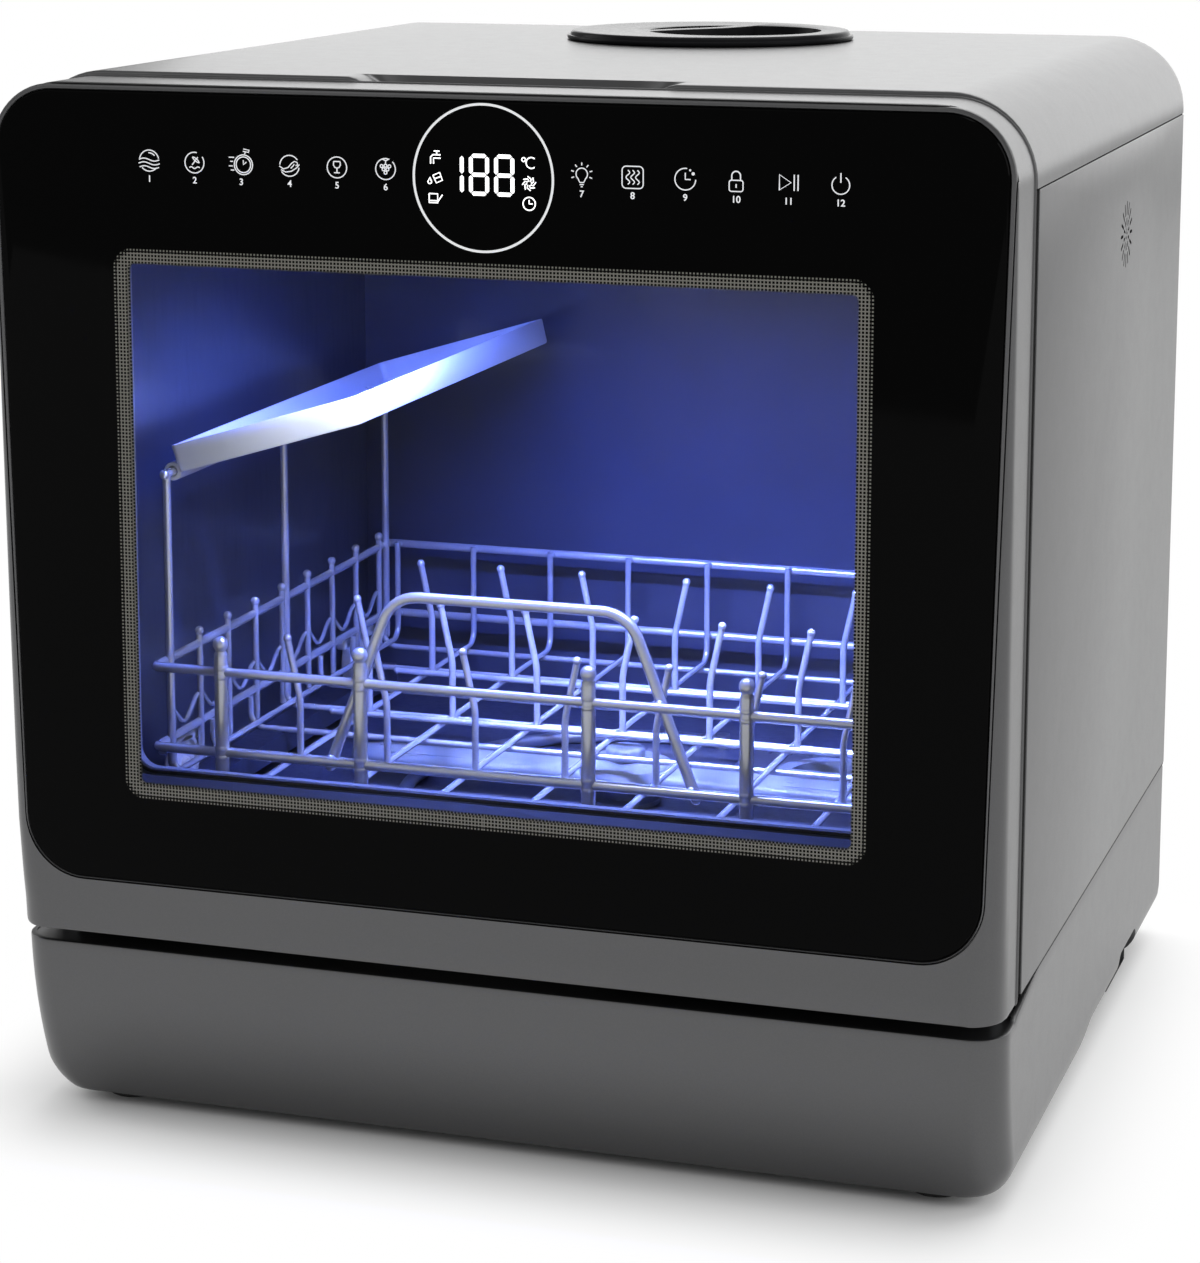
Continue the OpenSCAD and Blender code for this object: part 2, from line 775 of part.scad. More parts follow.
// Inner panel of the door: a plate that closes the back, stepped into the tub mouth
step_x = mouth_x - 6;
step_z0 = mouth_z0 + 6;
step_z1 = mouth_z1 - 6;
// The opening behind the printed window, wider than it so that it is not seen at an angle
inner_x = min(window_w / 2 + 15, step_x - 5);
inner_z0 = window_z0 - 2;
inner_z1 = window_z1 + 6;
module inner_outline(grow) {
    rounded(-inner_x - grow, inner_x + grow, inner_z0 - grow, inner_z1 + grow,
        window_r + grow, window_r + grow);
}
module door_liner() {
    color("#9aa0a6") difference() {
        union() {
            along_y(door_y1 - liner_t, door_y1)
                rounded(-side_x + door_wall + fit, side_x - door_wall - fit, door_z0 + door_wall + fit,
                    door_z1 - door_wall - fit, door_low_r - door_wall - fit, door_r - door_wall - fit);
            along_y(door_y1 - liner_t, liner_y) rounded(-step_x, step_x, step_z0, step_z1, 8, 8);
            along_y(door_y1 - 8, door_y1) inner_outline(5);
        }
        along_y(door_y1 - 9, door_y1 - 3) inner_outline(2 + fit);
        along_y(door_y1 - 9, liner_y + slack) inner_outline(0);
        block(cup_x0 - fit, cup_x1 + fit, door_y1 - 9, liner_y + slack, cup_z0 - fit, cup_z1 + fit);
        for (s = [-1, 1]) block(s > 0 ? slot_x0 : -slot_x1, s > 0 ? slot_x1 : -slot_x0,
            door_y1 - 9, door_y1 + slack, door_z0, slot_z1);
    }
}

module door_inner_glass() { color(black, 0.4) along_y(door_y1 - 8.6, door_y1 - 3) inner_outline(2); }

// Touch board behind the glass, with one pad for each key
board_h = 9;
board_t = 1.6;
board_x = key_start + key_count * key_pitch;
key_z = display_z + 2;
module touch_board() {
    color("#1f5a34") difference() {
        union() {
            block(-board_x, board_x, web_y1, web_y1 + board_t, key_z - board_h, key_z + board_h);
            for (s = [-1, 1], i = [0 : key_count - 1])
                translate([s * (key_start + i * key_pitch), web_y1 + board_t + 2, key_z])
                rotate([90, 0, 0]) cylinder(d = pad_d, h = 2.5);
        }
        block(-display_x - fit, display_x + fit, web_y0, web_y1 + 10, 0, body_h);
    }
}

// Digit display
display_x = 26;
display_h = 13;
module display_module() {
    color("#101215") {
        block(-display_x + fit, display_x - fit, web_y0 + fit, web_y1 + 8, display_z - display_h + fit,
            display_z + display_h - fit);
        translate([0, web_y1 + 10, display_z]) rotate([90, 0, 0]) cylinder(d = display_d / 2, h = 4);
    }
}

// Hinge arm: an eye on the pin, running back through the front frame to a foot on the frame's inner side
module hinge_arm(s) {
    x0 = s > 0 ? arm_x0 : -arm_x0 - arm_t;
    color(steel) difference() {
        along_x(x0, x0 + arm_t) {
            translate([axis_y, axis_z]) circle(arm_eye_r);
            translate([axis_y, axis_z - arm_eye_r]) square([arm_back_y - axis_y, 2 * arm_eye_r]);
            translate([tub_y0, base_h - 26]) square([arm_back_y - tub_y0, 52]);
        }
        translate([x0 - slack, axis_y, axis_z]) rotate([0, 90, 0]) cylinder(d = pin_d, h = arm_t + 2 * slack);
    }
}
module hinge_arm_left() { hinge_arm(-1); }
module hinge_arm_right() { hinge_arm(1); }

module hinge_pins() {
    color(steel) for (s = [-1, 1])
        translate([s > 0 ? lug_x0 + 2.5 : -lug_x1 + 0.5, axis_y, axis_z]) rotate([0, 90, 0])
            cylinder(d = pin_d, h = lug_x1 - lug_x0 - 3);
}

// Catch: a tongue on the door, and a sprung hook in a housing above the tub mouth
latch_x = 12;
latch_z0 = tub_z1 + 3;
latch_h = 14;
tongue_t = 4;
tongue_end = case_y + 17;
module latch_strike() {
    color(steel) {
        block(-8, 8, door_y1, tongue_end, latch_z0 + 3, latch_z0 + 3 + tongue_t);
        block(-10, 10, door_y1, door_y1 + 1.2, latch_z0 + 1, latch_z0 + 9);
    }
}
hook_y = case_y + 26;
hook_z = latch_z0 + 12;
module latch_body() {
    color("#d8d9da") difference() {
        block(-latch_x, latch_x, tub_y0, tub_y0 + 40, latch_z0, latch_z0 + latch_h + 4);
        block(-latch_x + 2, latch_x - 2, tub_y0 - slack, tub_y0 + 38, latch_z0 + 2, latch_z0 + latch_h + 2.5);
        translate([-latch_x - slack, hook_y, hook_z]) rotate([0, 90, 0])
            cylinder(d = 3, h = 2 * latch_x + 2 * slack);
    }
}
module latch_hook() {
    color(steel) {
        rod_x(-latch_x + 0.2, latch_x - 0.2, hook_y, hook_z, 1.5 - run);
        along_x(-5, 5) {
            translate([hook_y - 16, hook_z - 1.5]) square([28, 3]);
            translate([hook_y - 16, hook_z - 3.2]) square([4, 3]);
        }
    }
}

// Detergent cup let into the door liner, with a sliding lid
cup_x0 = -70;
cup_x1 = -10;
cup_z0 = step_z0 + 3;
cup_z1 = cup_z0 + 23;
cup_deep = 16;
cup_t = 1.5;
module detergent_cup() {
    color("#6c7278") difference() {
        block(cup_x0, cup_x1, liner_y - cup_deep, liner_y, cup_z0, cup_z1);
        block(cup_x0 + cup_t, cup_x1 - cup_t, liner_y - cup_deep + cup_t, liner_y + slack,
            cup_z0 + cup_t, cup_z1 - cup_t);
    }
}
module detergent_lid() {
    color("#50565c") {
        block(cup_x0, cup_x1, liner_y + fit, liner_y + 2, cup_z0, cup_z1);
        block(cup_x1 - 12, cup_x1 - 8, liner_y + 1.8, liner_y + 3.4, cup_z0 + 4, cup_z1 - 4);
    }
}

// ---- basket ----

floor_half = floor((basket_x - 8) / wire_pitch);
cross_count = 6;
cross_x = basket_x - rail_r - wire_r - run;
module basket_floor() {
    color(steel) {
        for (i = [-floor_half : floor_half])
            rod_y(i * wire_pitch, basket_y0 + rail_r, basket_y1 - rail_r, floor_z, wire_r);
        for (j = [0 : cross_count])
            rod_x(-cross_x, cross_x, basket_y0 + 12 + j * (basket_d - 24) / cross_count,
                floor_z - wire_d + weld, wire_r);
    }
}

module basket_rails_x(y) {
    for (z = [low_z, top_z]) rod_x(-basket_x, basket_x, y, z, rail_r);
}
module basket_front() {
    color(steel) {
        basket_rails_x(basket_y0);
        for (x = posts) {
            rod_z(x, basket_y0, floor_z - wire_r, top_z + 10, post_r);
            translate([x, basket_y0, top_z + 10]) sphere(post_r + post_ball, $fn = 24);
        }
    }
}
module basket_back() {
    color(steel) {
        basket_rails_x(basket_y1);
        for (i = [-floor_half : floor_half])
            rod_z(i * wire_pitch, basket_y1, floor_z - wire_r, top_z, wire_r - weld / 2);
    }
}

side_count = 8;
side_gap = 4.4;
module basket_side(x) {
    for (z = [low_z, top_z]) rod_y(x, basket_y0 + side_gap, basket_y1 - side_gap, z, rail_r);
    for (j = [0 : side_count])
        rod_z(x, basket_y0 + 14 + j * (basket_d - 28) / side_count, floor_z - wire_d, top_z + 6, wire_r);
}
module basket_left() {
    color(steel) {
        basket_side(-basket_x + rail_r);
        rod_y(shelf_rod_x, shelf_y0 - 5, shelf_y1 + 5, shelf_z, rod_r);
        for (y = rod_stations) rod_z(shelf_rod_x, y, floor_z, shelf_z, wire_r);
    }
}
module basket_right() { color(steel) basket_side(basket_x - rail_r); }

module basket_handle() {
    y = basket_y0 + post_r + post_ball + handle_r + run;
    z0 = low_z;
    z1 = floor_z + handle_h;
    color(steel) {
        rod_slant(handle_mid - handle_foot, z0, handle_mid - handle_top, z1, y, handle_r);
        rod_slant(handle_mid + handle_foot, z0, handle_mid + handle_top, z1, y, handle_r);
        rod_x(handle_mid - handle_top, handle_mid + handle_top, y, z1, handle_r);
        for (s = [-1, 1]) {
            translate([handle_mid + s * handle_top, y, z1]) sphere(handle_r + bend_bulge, $fn = 32);
            translate([handle_mid + s * handle_foot, y, z0]) sphere(handle_r + bend_bulge, $fn = 32);
            rod_y(handle_mid + s * handle_foot, basket_y0 + rail_r, y, z0, handle_r);
        }
    }
}

// Rows of kinked tines across the basket, each on a wire that lies on the floor wires
tine_first = 30;
tine_row_gap = 80;
tine_row_count = floor((basket_d - 2 * tine_first) / tine_row_gap);
tine_half = floor((basket_x - tine_first) / wire_pitch);
module plate_tines() {
    tip = wire_r + 0.3;
    z = floor_z + 2 * wire_r + run;
    rise = tine_h - tine_kink;
    color(steel) for (k = [0 : tine_row_count]) {
        y = basket_y0 + tine_first + k * tine_row_gap;
        rod_x(-(tine_half + 0.3) * wire_pitch, (tine_half + 0.3) * wire_pitch, y, z, wire_r);
        for (i = [-tine_half : tine_half]) {
            x = (i + 0.15) * wire_pitch;
            top_x = x + rise * tan(tine_lean) * (x < -20 ? -1 : 1);
            rod_z(x, y, z, floor_z + tine_kink, wire_r - 0.1);
            translate([x, y, floor_z + tine_kink]) sphere(wire_r, $fn = 24);
            rod_slant(x, floor_z + tine_kink, top_x, floor_z + tine_h, y, wire_r - 0.1);
            translate([top_x, y, floor_z + tine_h]) sphere(tip, $fn = 24);
        }
    }
}

module basket_glides() {
    x = basket_x - rail_r + wire_r;
    color("#e4e6e8") for (s = [-1, 1], y = [basket_y0 + 34, basket_y1 - 34])
        along_x(s > 0 ? x : -x - glide_t, s > 0 ? x + glide_t : -x)
            rounded(y - glide_len / 2, y + glide_len / 2, tub_floor + rail_h + fit, low_z - rail_r - 1, 5, 3);
}

// Tray hinged on the rod at the left of the basket
slit_count = 9;
slit_w = 8;
module cup_shelf() {
    color("#e9ecf0") translate([shelf_rod_x, 0, shelf_z]) rotate([0, -shelf_tilt, 0]) {
        difference() {
            union() {
                block(barrel_r - 0.5, shelf_w, shelf_y0, shelf_y1, -shelf_t / 2, shelf_t / 2);
                block(shelf_w - shelf_t, shelf_w, shelf_y0, shelf_y1, -shelf_t / 2, shelf_rim);
                for (y = [shelf_y0, shelf_y1 - shelf_t])
                    block(barrel_r + 2, shelf_w, y, y + shelf_t, -shelf_t / 2, shelf_rim);
                for (k = [0, 1]) rod_y(0, rod_stations[k] + 6, rod_stations[k + 1] - 6, 0, barrel_r);
            }
            rod_y(0, shelf_y0 - slack, shelf_y1 + slack, 0, rod_r + run);
            for (y = rod_stations) block(-6, 6, y - 6, y + 6, -6, 6);
            for (k = [1 : slit_count]) block(18, shelf_w - 14,
                shelf_y0 + k * shelf_len / (slit_count + 1) - slit_w / 2,
                shelf_y0 + k * shelf_len / (slit_count + 1) + slit_w / 2, -slack - shelf_t, slack + shelf_t);
        }
    }
}

// ---- washing works ----

module spray_arm() {
    color("#aeb4ba") translate([0, middle_y, spray_z0]) difference() {
        union() {
            for (a = [0, 180]) rotate([0, 0, a]) {
                translate([0, -14, 0]) cube([spray_r - 14, 28, spray_t]);
                translate([spray_r - 14, 0, 0]) cylinder(r = 14, h = spray_t);
            }
            cylinder(r = 22, h = spray_t + 2);
        }
        translate([0, 0, -slack]) cylinder(r = hub_bore + run, h = 20);
        for (a = [0, 180], i = [1 : 4]) rotate([0, 0, a])
            translate([i * spray_r / 5, 5, spray_t - 2]) cylinder(r = 1.5, h = 4, $fn = 16);
    }
}

// Fixed hub that feeds the spray arm
module spray_hub() {
    color("#8d9399") translate([0, middle_y, 0]) difference() {
        union() {
            translate([0, 0, tub_z0 - 12]) cylinder(r = hub_r, h = tub_t + 14);
            translate([0, 0, tub_floor]) cylinder(r = 16, h = 2);
            translate([0, 0, tub_floor]) cylinder(r = 9, h = spray_z0 - tub_floor - fit);
            translate([0, 0, tub_floor]) cylinder(r = hub_bore, h = spray_z0 - tub_floor + spray_t + 6);
        }
        translate([0, 0, tub_z0 - 13]) cylinder(r = 3, h = 20);
    }
}

module spray_nut() {
    color("#5d6369") translate([0, middle_y, spray_z0 + spray_t + 2 + fit]) difference() {
        cylinder(r = 9, h = 6, $fn = 8);
        translate([0, 0, -slack]) cylinder(r = hub_bore + run, h = slack + 4);
    }
}

module filter_plate() {
    color("#b9bec4") difference() {
        block(filter_x - 50, filter_x + 62, filter_y - 44, filter_y + 44, tub_floor, tub_floor + 1.5);
        translate([filter_x, filter_y, 0]) cylinder(r = filter_r - 2, h = tub_floor + 2 * slack + 1);
        for (i = [-4 : 4], k = [-1, 1])
            block(filter_x + i * 10 - 1, filter_x + i * 10 + 1, filter_y + k * 36 - 5, filter_y + k * 36 + 5,
                0, tub_floor + 2 * slack);
    }
}

// Round filter that lifts out of the sump, with a turning grip
module filter_cup() {
    color("#70767c") translate([filter_x, filter_y, 0]) {
        difference() {
            union() {
                translate([0, 0, sump_z0 + 8]) cylinder(r = filter_r - 5, h = tub_floor - sump_z0 - 5);
                translate([0, 0, tub_floor + 1.5 + run]) cylinder(r = filter_r, h = 2);
            }
            translate([0, 0, sump_z0 + 10]) cylinder(r = filter_r - 7, h = 100);
        }
        translate([-filter_r + 5.5, -1.5, tub_floor - 6]) cube([2 * filter_r - 11, 3, 9.5]);
    }
}

module sump() {
    color("#4a4e53") difference() {
        block(sump_x0, sump_x1, sump_y0, sump_y1, sump_z0, tub_z0);
        block(sump_x0 + sump_t, sump_x1 - sump_t, sump_y0 + sump_t, sump_y1 - sump_t,
            sump_z0 + sump_t, tub_z0 + slack);
        translate([pump_inlet_x, pump_y, sump_z0 - slack]) cylinder(r = 8, h = sump_t + 2 * slack);
        translate([drain_pump_x, filter_y, sump_z0 - slack]) cylinder(r = 8, h = sump_t + 2 * slack);
    }
}

// Open ring of tube on the tub floor, round the hub
module heater() {
    color("#9c9ea1") translate([0, middle_y, tub_floor + heater_tube]) {
        rotate([0, 0, heater_a0]) rotate_extrude(angle = heater_a1 - heater_a0)
            translate([heater_r, 0]) circle(heater_tube, $fn = 48);
        for (a = [heater_a0, heater_a1]) rotate([0, 0, a])
            translate([heater_r, 0, -heater_tube - heater_leg])
                cylinder(r = leg_r, h = heater_leg + 2 * leg_r);
    }
}

// Circulation pump: volute, motor and impeller share one axis along X
module wash_pump() {
    color("#55595e") difference() {
        union() {
            translate([pump_x0, pump_y, pump_z]) rotate([0, 90, 0]) cylinder(r = pump_r, h = 26);
            translate([pump_inlet_x, pump_y, pump_z]) cylinder(r = 10, h = sump_z0 - pump_z);
            rod_y(pump_inlet_x, outlet_y, pump_y, outlet_z, pipe_r);
        }
        translate([pump_x0 + 2, pump_y, pump_z]) rotate([0, 90, 0]) cylinder(r = pump_r - 2, h = 26);
        translate([pump_inlet_x, pump_y, pump_z + 10]) cylinder(r = 8, h = 40);
    }
}
module pump_motor() {
    color("#2e5a8c") difference() {
        union() {
            translate([pump_x0 + 26, pump_y, pump_z]) rotate([0, 90, 0]) cylinder(r = pump_r, h = 3);
            translate([pump_x0 + 29, pump_y, pump_z]) rotate([0, 90, 0]) cylinder(r = pump_r - 4, h = 56);
        }
        translate([pump_x0 + 20, pump_y, pump_z]) rotate([0, 90, 0]) cylinder(r = 3 + run, h = 50);
    }
}
module pump_impeller() {
    color("#d9dde0") translate([pump_x0 + 5, pump_y, pump_z]) rotate([0, 90, 0]) {
        cylinder(r = 20, h = 2);
        cylinder(r = 6, h = 16);
        cylinder(r = 3, h = 60);
        for (i = [0 : 5]) rotate([0, 0, i * 60]) translate([5, -1, 1]) cube([14, 2, 9]);
    }
}

// Pipe from the pump to the spray hub
module wash_hose() {
    color("#303234") {
        rod_y(pump_inlet_x, outlet_y - pipe_r - 2, outlet_y, outlet_z, pipe_r + 1.5);
        rod_x(0, pump_inlet_x, outlet_y - pipe_r - 2, outlet_z, pipe_r + 1.5);
        rod_y(0, outlet_y - pipe_r - 2, middle_y, outlet_z, pipe_r + 1.5);
        rod_z(0, middle_y, outlet_z, tub_z0 - 12, pipe_r + 1.5);
        for (p = [[pump_inlet_x, outlet_y - pipe_r - 2], [0, outlet_y - pipe_r - 2], [0, middle_y]])
            translate([p[0], p[1], outlet_z]) sphere(pipe_r + 1.5, $fn = 32);
    }
}

drain_pump_x = 92;
module drain_pump() {
    color("#6b6f73") {
        translate([drain_pump_x, filter_y, 36]) cylinder(r = 20, h = sump_z0 - 36);
        translate([drain_pump_x, filter_y, 14]) cylinder(r = 15, h = 22);
        rod_y(drain_pump_x, filter_y + 18, filter_y + 34, 50, 7);
    }
}
module drain_hose() {
    color("#303234") {
        rod_y(drain_pump_x, filter_y + 34, back_y - 20, 50, 8);
        rod_x(drain_pump_x, drain_x, back_y - 20, 50, 8);
        rod_z(drain_x, back_y - 20, 50, spigot_z, 8);
        translate([drain_pump_x, back_y - 20, 50]) sphere(8, $fn = 32);
        translate([drain_x, back_y - 20, 50]) sphere(8, $fn = 32);
        translate([drain_x, back_y - 20, spigot_z]) sphere(8, $fn = 32);
        rod_y(drain_x, back_y - 20, back_y - 6, spigot_z, 8);
    }
}

// Hose tail on the back panel
// Both hose tails: a pin behind the panel's outer face, on a thinner neck through the panel
pin_end = 0.5;
pin_len = back_inset - panel_t - pin_end - 0.1;
neck_step = 2;
neck_in = 5.5;
module drain_spigot() {
    color("#c9ccd0") difference() {
        union() {
            translate([drain_x, rear_y - pin_end, spigot_z]) rotate([90, 0, 0])
                cylinder(d = drain_d, h = pin_len);
            translate([drain_x, rear_y - pin_end, spigot_z]) rotate([90, 0, 0])
                cylinder(d = drain_d - neck_step, h = back_inset + neck_in);
            translate([drain_x, back_y, spigot_z]) rotate([90, 0, 0]) cylinder(r = drain_d / 2 + 5, h = 3);
        }
        translate([drain_x, rear_y + 1, spigot_z]) rotate([90, 0, 0])
            cylinder(d = drain_d - 5, h = back_inset + 8);
    }
}

// Water inlet: a threaded connector on a solenoid valve
module inlet_valve() {
    color("#e3e5e8") difference() {
        union() {
            translate([inlet_x, rear_y - pin_end, spigot_z]) rotate([90, 0, 0])
                cylinder(d = inlet_d, h = pin_len);
            translate([inlet_x, rear_y - pin_end, spigot_z]) rotate([90, 0, 0])
                cylinder(d = inlet_d - neck_step, h = back_inset + 1);
            block(inlet_x - 18, inlet_x + 18, back_y - 30, back_y - fit, spigot_z - 18, spigot_z + 18);
            translate([inlet_x, back_y - 16, spigot_z - 40]) cylinder(r = 12, h = 30);
        }
        translate([inlet_x, rear_y + 1, spigot_z]) rotate([90, 0, 0])
            cylinder(d = inlet_d - 7, h = back_inset + 8);
    }
}

// Bush that the mains cord passes through
module cord_gland() {
    color(black) difference() {
        union() {
            translate([gland_x, rear_y - 2, spigot_z]) rotate([90, 0, 0])
                cylinder(r = cord_d / 2 + 3 - run, h = back_inset + 6);
            translate([gland_x, back_y + panel_t + 3.1, spigot_z]) rotate([90, 0, 0])
                cylinder(r = cord_d / 2 + 6, h = 3);
        }
        translate([gland_x, rear_y, spigot_z]) rotate([90, 0, 0]) cylinder(d = cord_d, h = back_inset + 12);
    }
}

// ---- drying fan ----

module fan_housing() {
    color("#2b2d30") difference() {
        block(fan_x0, fan_x1, vent_y - fan_box, vent_y + fan_box, vent_z - fan_box, vent_z + fan_box);
        translate([fan_x0 + 2, vent_y, vent_z]) rotate([0, 90, 0]) cylinder(r = fan_r + 1.5, h = 40);
        translate([fan_x0 - slack, vent_y, vent_z]) rotate([0, 90, 0]) difference() {
            cylinder(r = fan_r - 6, h = 2 + 2 * slack);
            translate([0, 0, -slack]) cylinder(r = 9, h = 2 + 4 * slack);
            translate([-30, -2, 0]) cube([60, 4, 2 + 2 * slack]);
            translate([-2, -30, 0]) cube([4, 60, 2 + 2 * slack]);
        }
        translate([fan_x0 - slack, vent_y, vent_z]) rotate([0, 90, 0]) cylinder(r = 2 + run, h = 20);
    }
}
module fan_impeller() {
    color("#1d1e20") translate([fan_x0 + 3, vent_y, vent_z]) rotate([0, 90, 0]) {
        translate([0, 0, -2.5]) cylinder(r = 2, h = 12);
        cylinder(r = 9, h = 10);
        for (i = [0 : 6]) rotate([0, 0, i * 360 / 7]) rotate([35, 0, 0]) translate([8, -1, -1.2])
            translate([0, 0, 5.5]) cube([fan_r - 10, 1.5, 8]);
    }
}

// Power and control board in the left of the base, on four posts
pcb_x0 = -175;
pcb_x1 = -90;
pcb_y = 60;
pcb_z = plate_top + 8;
pcb_t = 1.6;
module power_board() {
    top = pcb_z + pcb_t - weld / 2;
    color("#1f5a34") {
        block(pcb_x0, pcb_x1, -pcb_y, pcb_y, pcb_z, pcb_z + pcb_t);
        for (x = [pcb_x0 + 10, pcb_x1 - 10], y = [-pcb_y + 10, pcb_y - 10])
            translate([x, y, plate_top]) cylinder(r = 3, h = pcb_z - plate_top + weld / 2);
        block(pcb_x0 + 15, pcb_x0 + 50, -40, -5, top, top + 25);
        for (i = [0 : 3]) translate([pcb_x1 - 18, -42 + i * 22, top]) cylinder(r = 6, h = 18);
        block(pcb_x0 + 15, pcb_x0 + 55, 10, 45, top, top + 15);
    }
}

base_housing();
base_plate();
feet();
side_panel_left();
side_panel_right();
top_cover();
back_panel();
panel_screws();
front_frame();
tub();
tub_seal();
light_housing();
light_lens();
water_tank();
fill_collar();
fill_cap();
cap_plug();
cap_seal();
door_frame();
door_glass();
door_liner();
door_inner_glass();
touch_board();
display_module();
hinge_arm_left();
hinge_arm_right();
hinge_pins();
latch_strike();
latch_body();
latch_hook();
detergent_cup();
detergent_lid();
basket_floor();
basket_front();
basket_back();
basket_left();
basket_right();
basket_handle();
plate_tines();
basket_glides();
cup_shelf();
spray_arm();
spray_hub();
spray_nut();
filter_plate();
filter_cup();
sump();
heater();
wash_pump();
pump_motor();
pump_impeller();
wash_hose();
drain_pump();
drain_hose();
inlet_valve();
drain_spigot();
fan_housing();
fan_impeller();
power_board();
cord_gland();
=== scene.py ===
"""Countertop dishwasher: finished pieces, materials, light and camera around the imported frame."""
import json
import math
from contextlib import contextmanager

import bmesh
import bpy
from mathutils import Matrix, Vector


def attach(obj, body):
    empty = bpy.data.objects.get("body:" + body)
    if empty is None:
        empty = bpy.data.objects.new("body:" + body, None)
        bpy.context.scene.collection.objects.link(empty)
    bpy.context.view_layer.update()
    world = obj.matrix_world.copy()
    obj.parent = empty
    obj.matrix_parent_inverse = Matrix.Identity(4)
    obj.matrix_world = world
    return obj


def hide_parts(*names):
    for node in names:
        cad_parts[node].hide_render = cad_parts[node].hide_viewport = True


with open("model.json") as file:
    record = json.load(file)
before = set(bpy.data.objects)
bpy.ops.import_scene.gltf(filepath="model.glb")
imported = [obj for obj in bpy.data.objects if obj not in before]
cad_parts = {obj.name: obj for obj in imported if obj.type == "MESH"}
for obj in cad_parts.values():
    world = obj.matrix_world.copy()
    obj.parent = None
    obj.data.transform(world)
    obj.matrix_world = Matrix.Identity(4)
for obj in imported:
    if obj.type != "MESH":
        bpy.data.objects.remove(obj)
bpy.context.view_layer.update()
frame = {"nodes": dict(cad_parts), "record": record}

NODES = frame["nodes"]
MM = 0.001


# ---------------------------------------------------------------- shader maths

def arithmetic(operation):
    """A method that adds a Math node of that kind."""
    return lambda value, other: value.calc(operation, other)


class Value:
    """A socket inside one material, with arithmetic that adds Math nodes."""

    __add__ = arithmetic("ADD")
    __sub__ = arithmetic("SUBTRACT")
    __mul__ = arithmetic("MULTIPLY")
    __truediv__ = arithmetic("DIVIDE")
    __gt__ = arithmetic("GREATER_THAN")
    __lt__ = arithmetic("LESS_THAN")

    def __init__(self, paint, link):
        self.paint = paint
        self.link = link

    def __rsub__(self, other):
        return (self * -1) + other

    def calc(self, operation, *others):
        """A Math node that takes this value first and the others after it."""
        return self.paint.add("ShaderNodeMath", {"operation": operation}, {
            place: other for place, other in enumerate((self,) + others)})

    def clip(self):
        """Held between 0 and 1."""
        held = self + 0.0
        held.link.node.use_clamp = True
        return held

    def step(self, low, high):
        """0 below low, 1 above high, smooth between."""
        return self.paint.add("ShaderNodeMapRange", {"interpolation_type": "SMOOTHSTEP"},
                              {"Value": self, "From Min": low, "From Max": high}, "Result")


class Paint:
    """One procedural material, built around a Principled shader."""

    def __init__(self, name, colour, roughness=0.5, metallic=0.0, **sockets):
        self.material = bpy.data.materials.new(name)
        self.material.use_nodes = True
        self.nodes = self.material.node_tree.nodes
        self.links = self.material.node_tree.links
        self.shader = self.nodes["Principled BSDF"]
        self.material.diffuse_color = (*colour, 1)
        self.feed("Base Color", (*colour, 1))
        self.feed("Roughness", roughness)
        self.feed("Metallic", metallic)
        for socket, value in sockets.items():
            self.feed(socket.replace("_", " "), value)

    def put(self, socket, value):
        """Sets a socket to a number, colour or vector, or links it."""
        if isinstance(value, Value):
            self.links.new(value.link, socket)
        else:
            socket.default_value = value

    def feed(self, socket, value):
        """Fills one of the shader's own sockets."""
        self.put(self.shader.inputs[socket], value)

    def add(self, kind, settings, sockets, out=0):
        """A node of that kind, its settings made first, then its sockets filled."""
        node = self.nodes.new(kind)
        for key, value in settings.items():
            setattr(node, key, value)
        for place, value in sockets.items():
            self.put(node.inputs[place], value)
        return Value(self, node.outputs[out])

    def place(self):
        """Object coordinates in metres."""
        return self.add("ShaderNodeTexCoord", {}, {}, "Object")

    def axes(self):
        """X, Y and Z of the surface point, in millimetres."""
        split = self.add("ShaderNodeSeparateXYZ", {}, {"Vector": self.place()})
        return [Value(self, split.link.node.outputs[a]) * (1 / MM) for a in range(3)]

    def noise(self, size, detail=2.0, roughness=0.5, stretch=None):
        """Noise whose grains are about that many millimetres across."""
        where = self.place()
        if stretch:
            where = self.add("ShaderNodeMapping", {}, {"Vector": where, "Scale": stretch})
        return self.add("ShaderNodeTexNoise", {}, {
            "Vector": where, "Scale": 1 / (size * MM), "Detail": detail, "Roughness": roughness})

    def cells(self, size):
        """A colour of its own for each cell about that many millimetres across."""
        return self.add("ShaderNodeTexVoronoi", {"feature": "F1"},
                        {"Vector": self.place(), "Scale": 1 / (size * MM)}, "Color")

    def mix(self, factor, first, second):
        """Between two colours."""
        return self.add("ShaderNodeMix", {"data_type": "RGBA"},
                        {0: factor, 6: (*first, 1), 7: (*second, 1)}, 2)

    def length(self, first, second):
        """Root of the sum of two squares."""
        return self.add("ShaderNodeMath", {"operation": "SQRT"}, {0: first * first + second * second})

    def bump(self, height, strength, distance):
        """Relief whose height of 1 stands for that many millimetres."""
        self.feed("Normal", self.add("ShaderNodeBump", {}, {
            "Height": height, "Strength": strength, "Distance": distance * MM}))


def grey(level):
    """A colour without a hue."""
    return (level, level, level)


# ---------------------------------------------------------------- materials

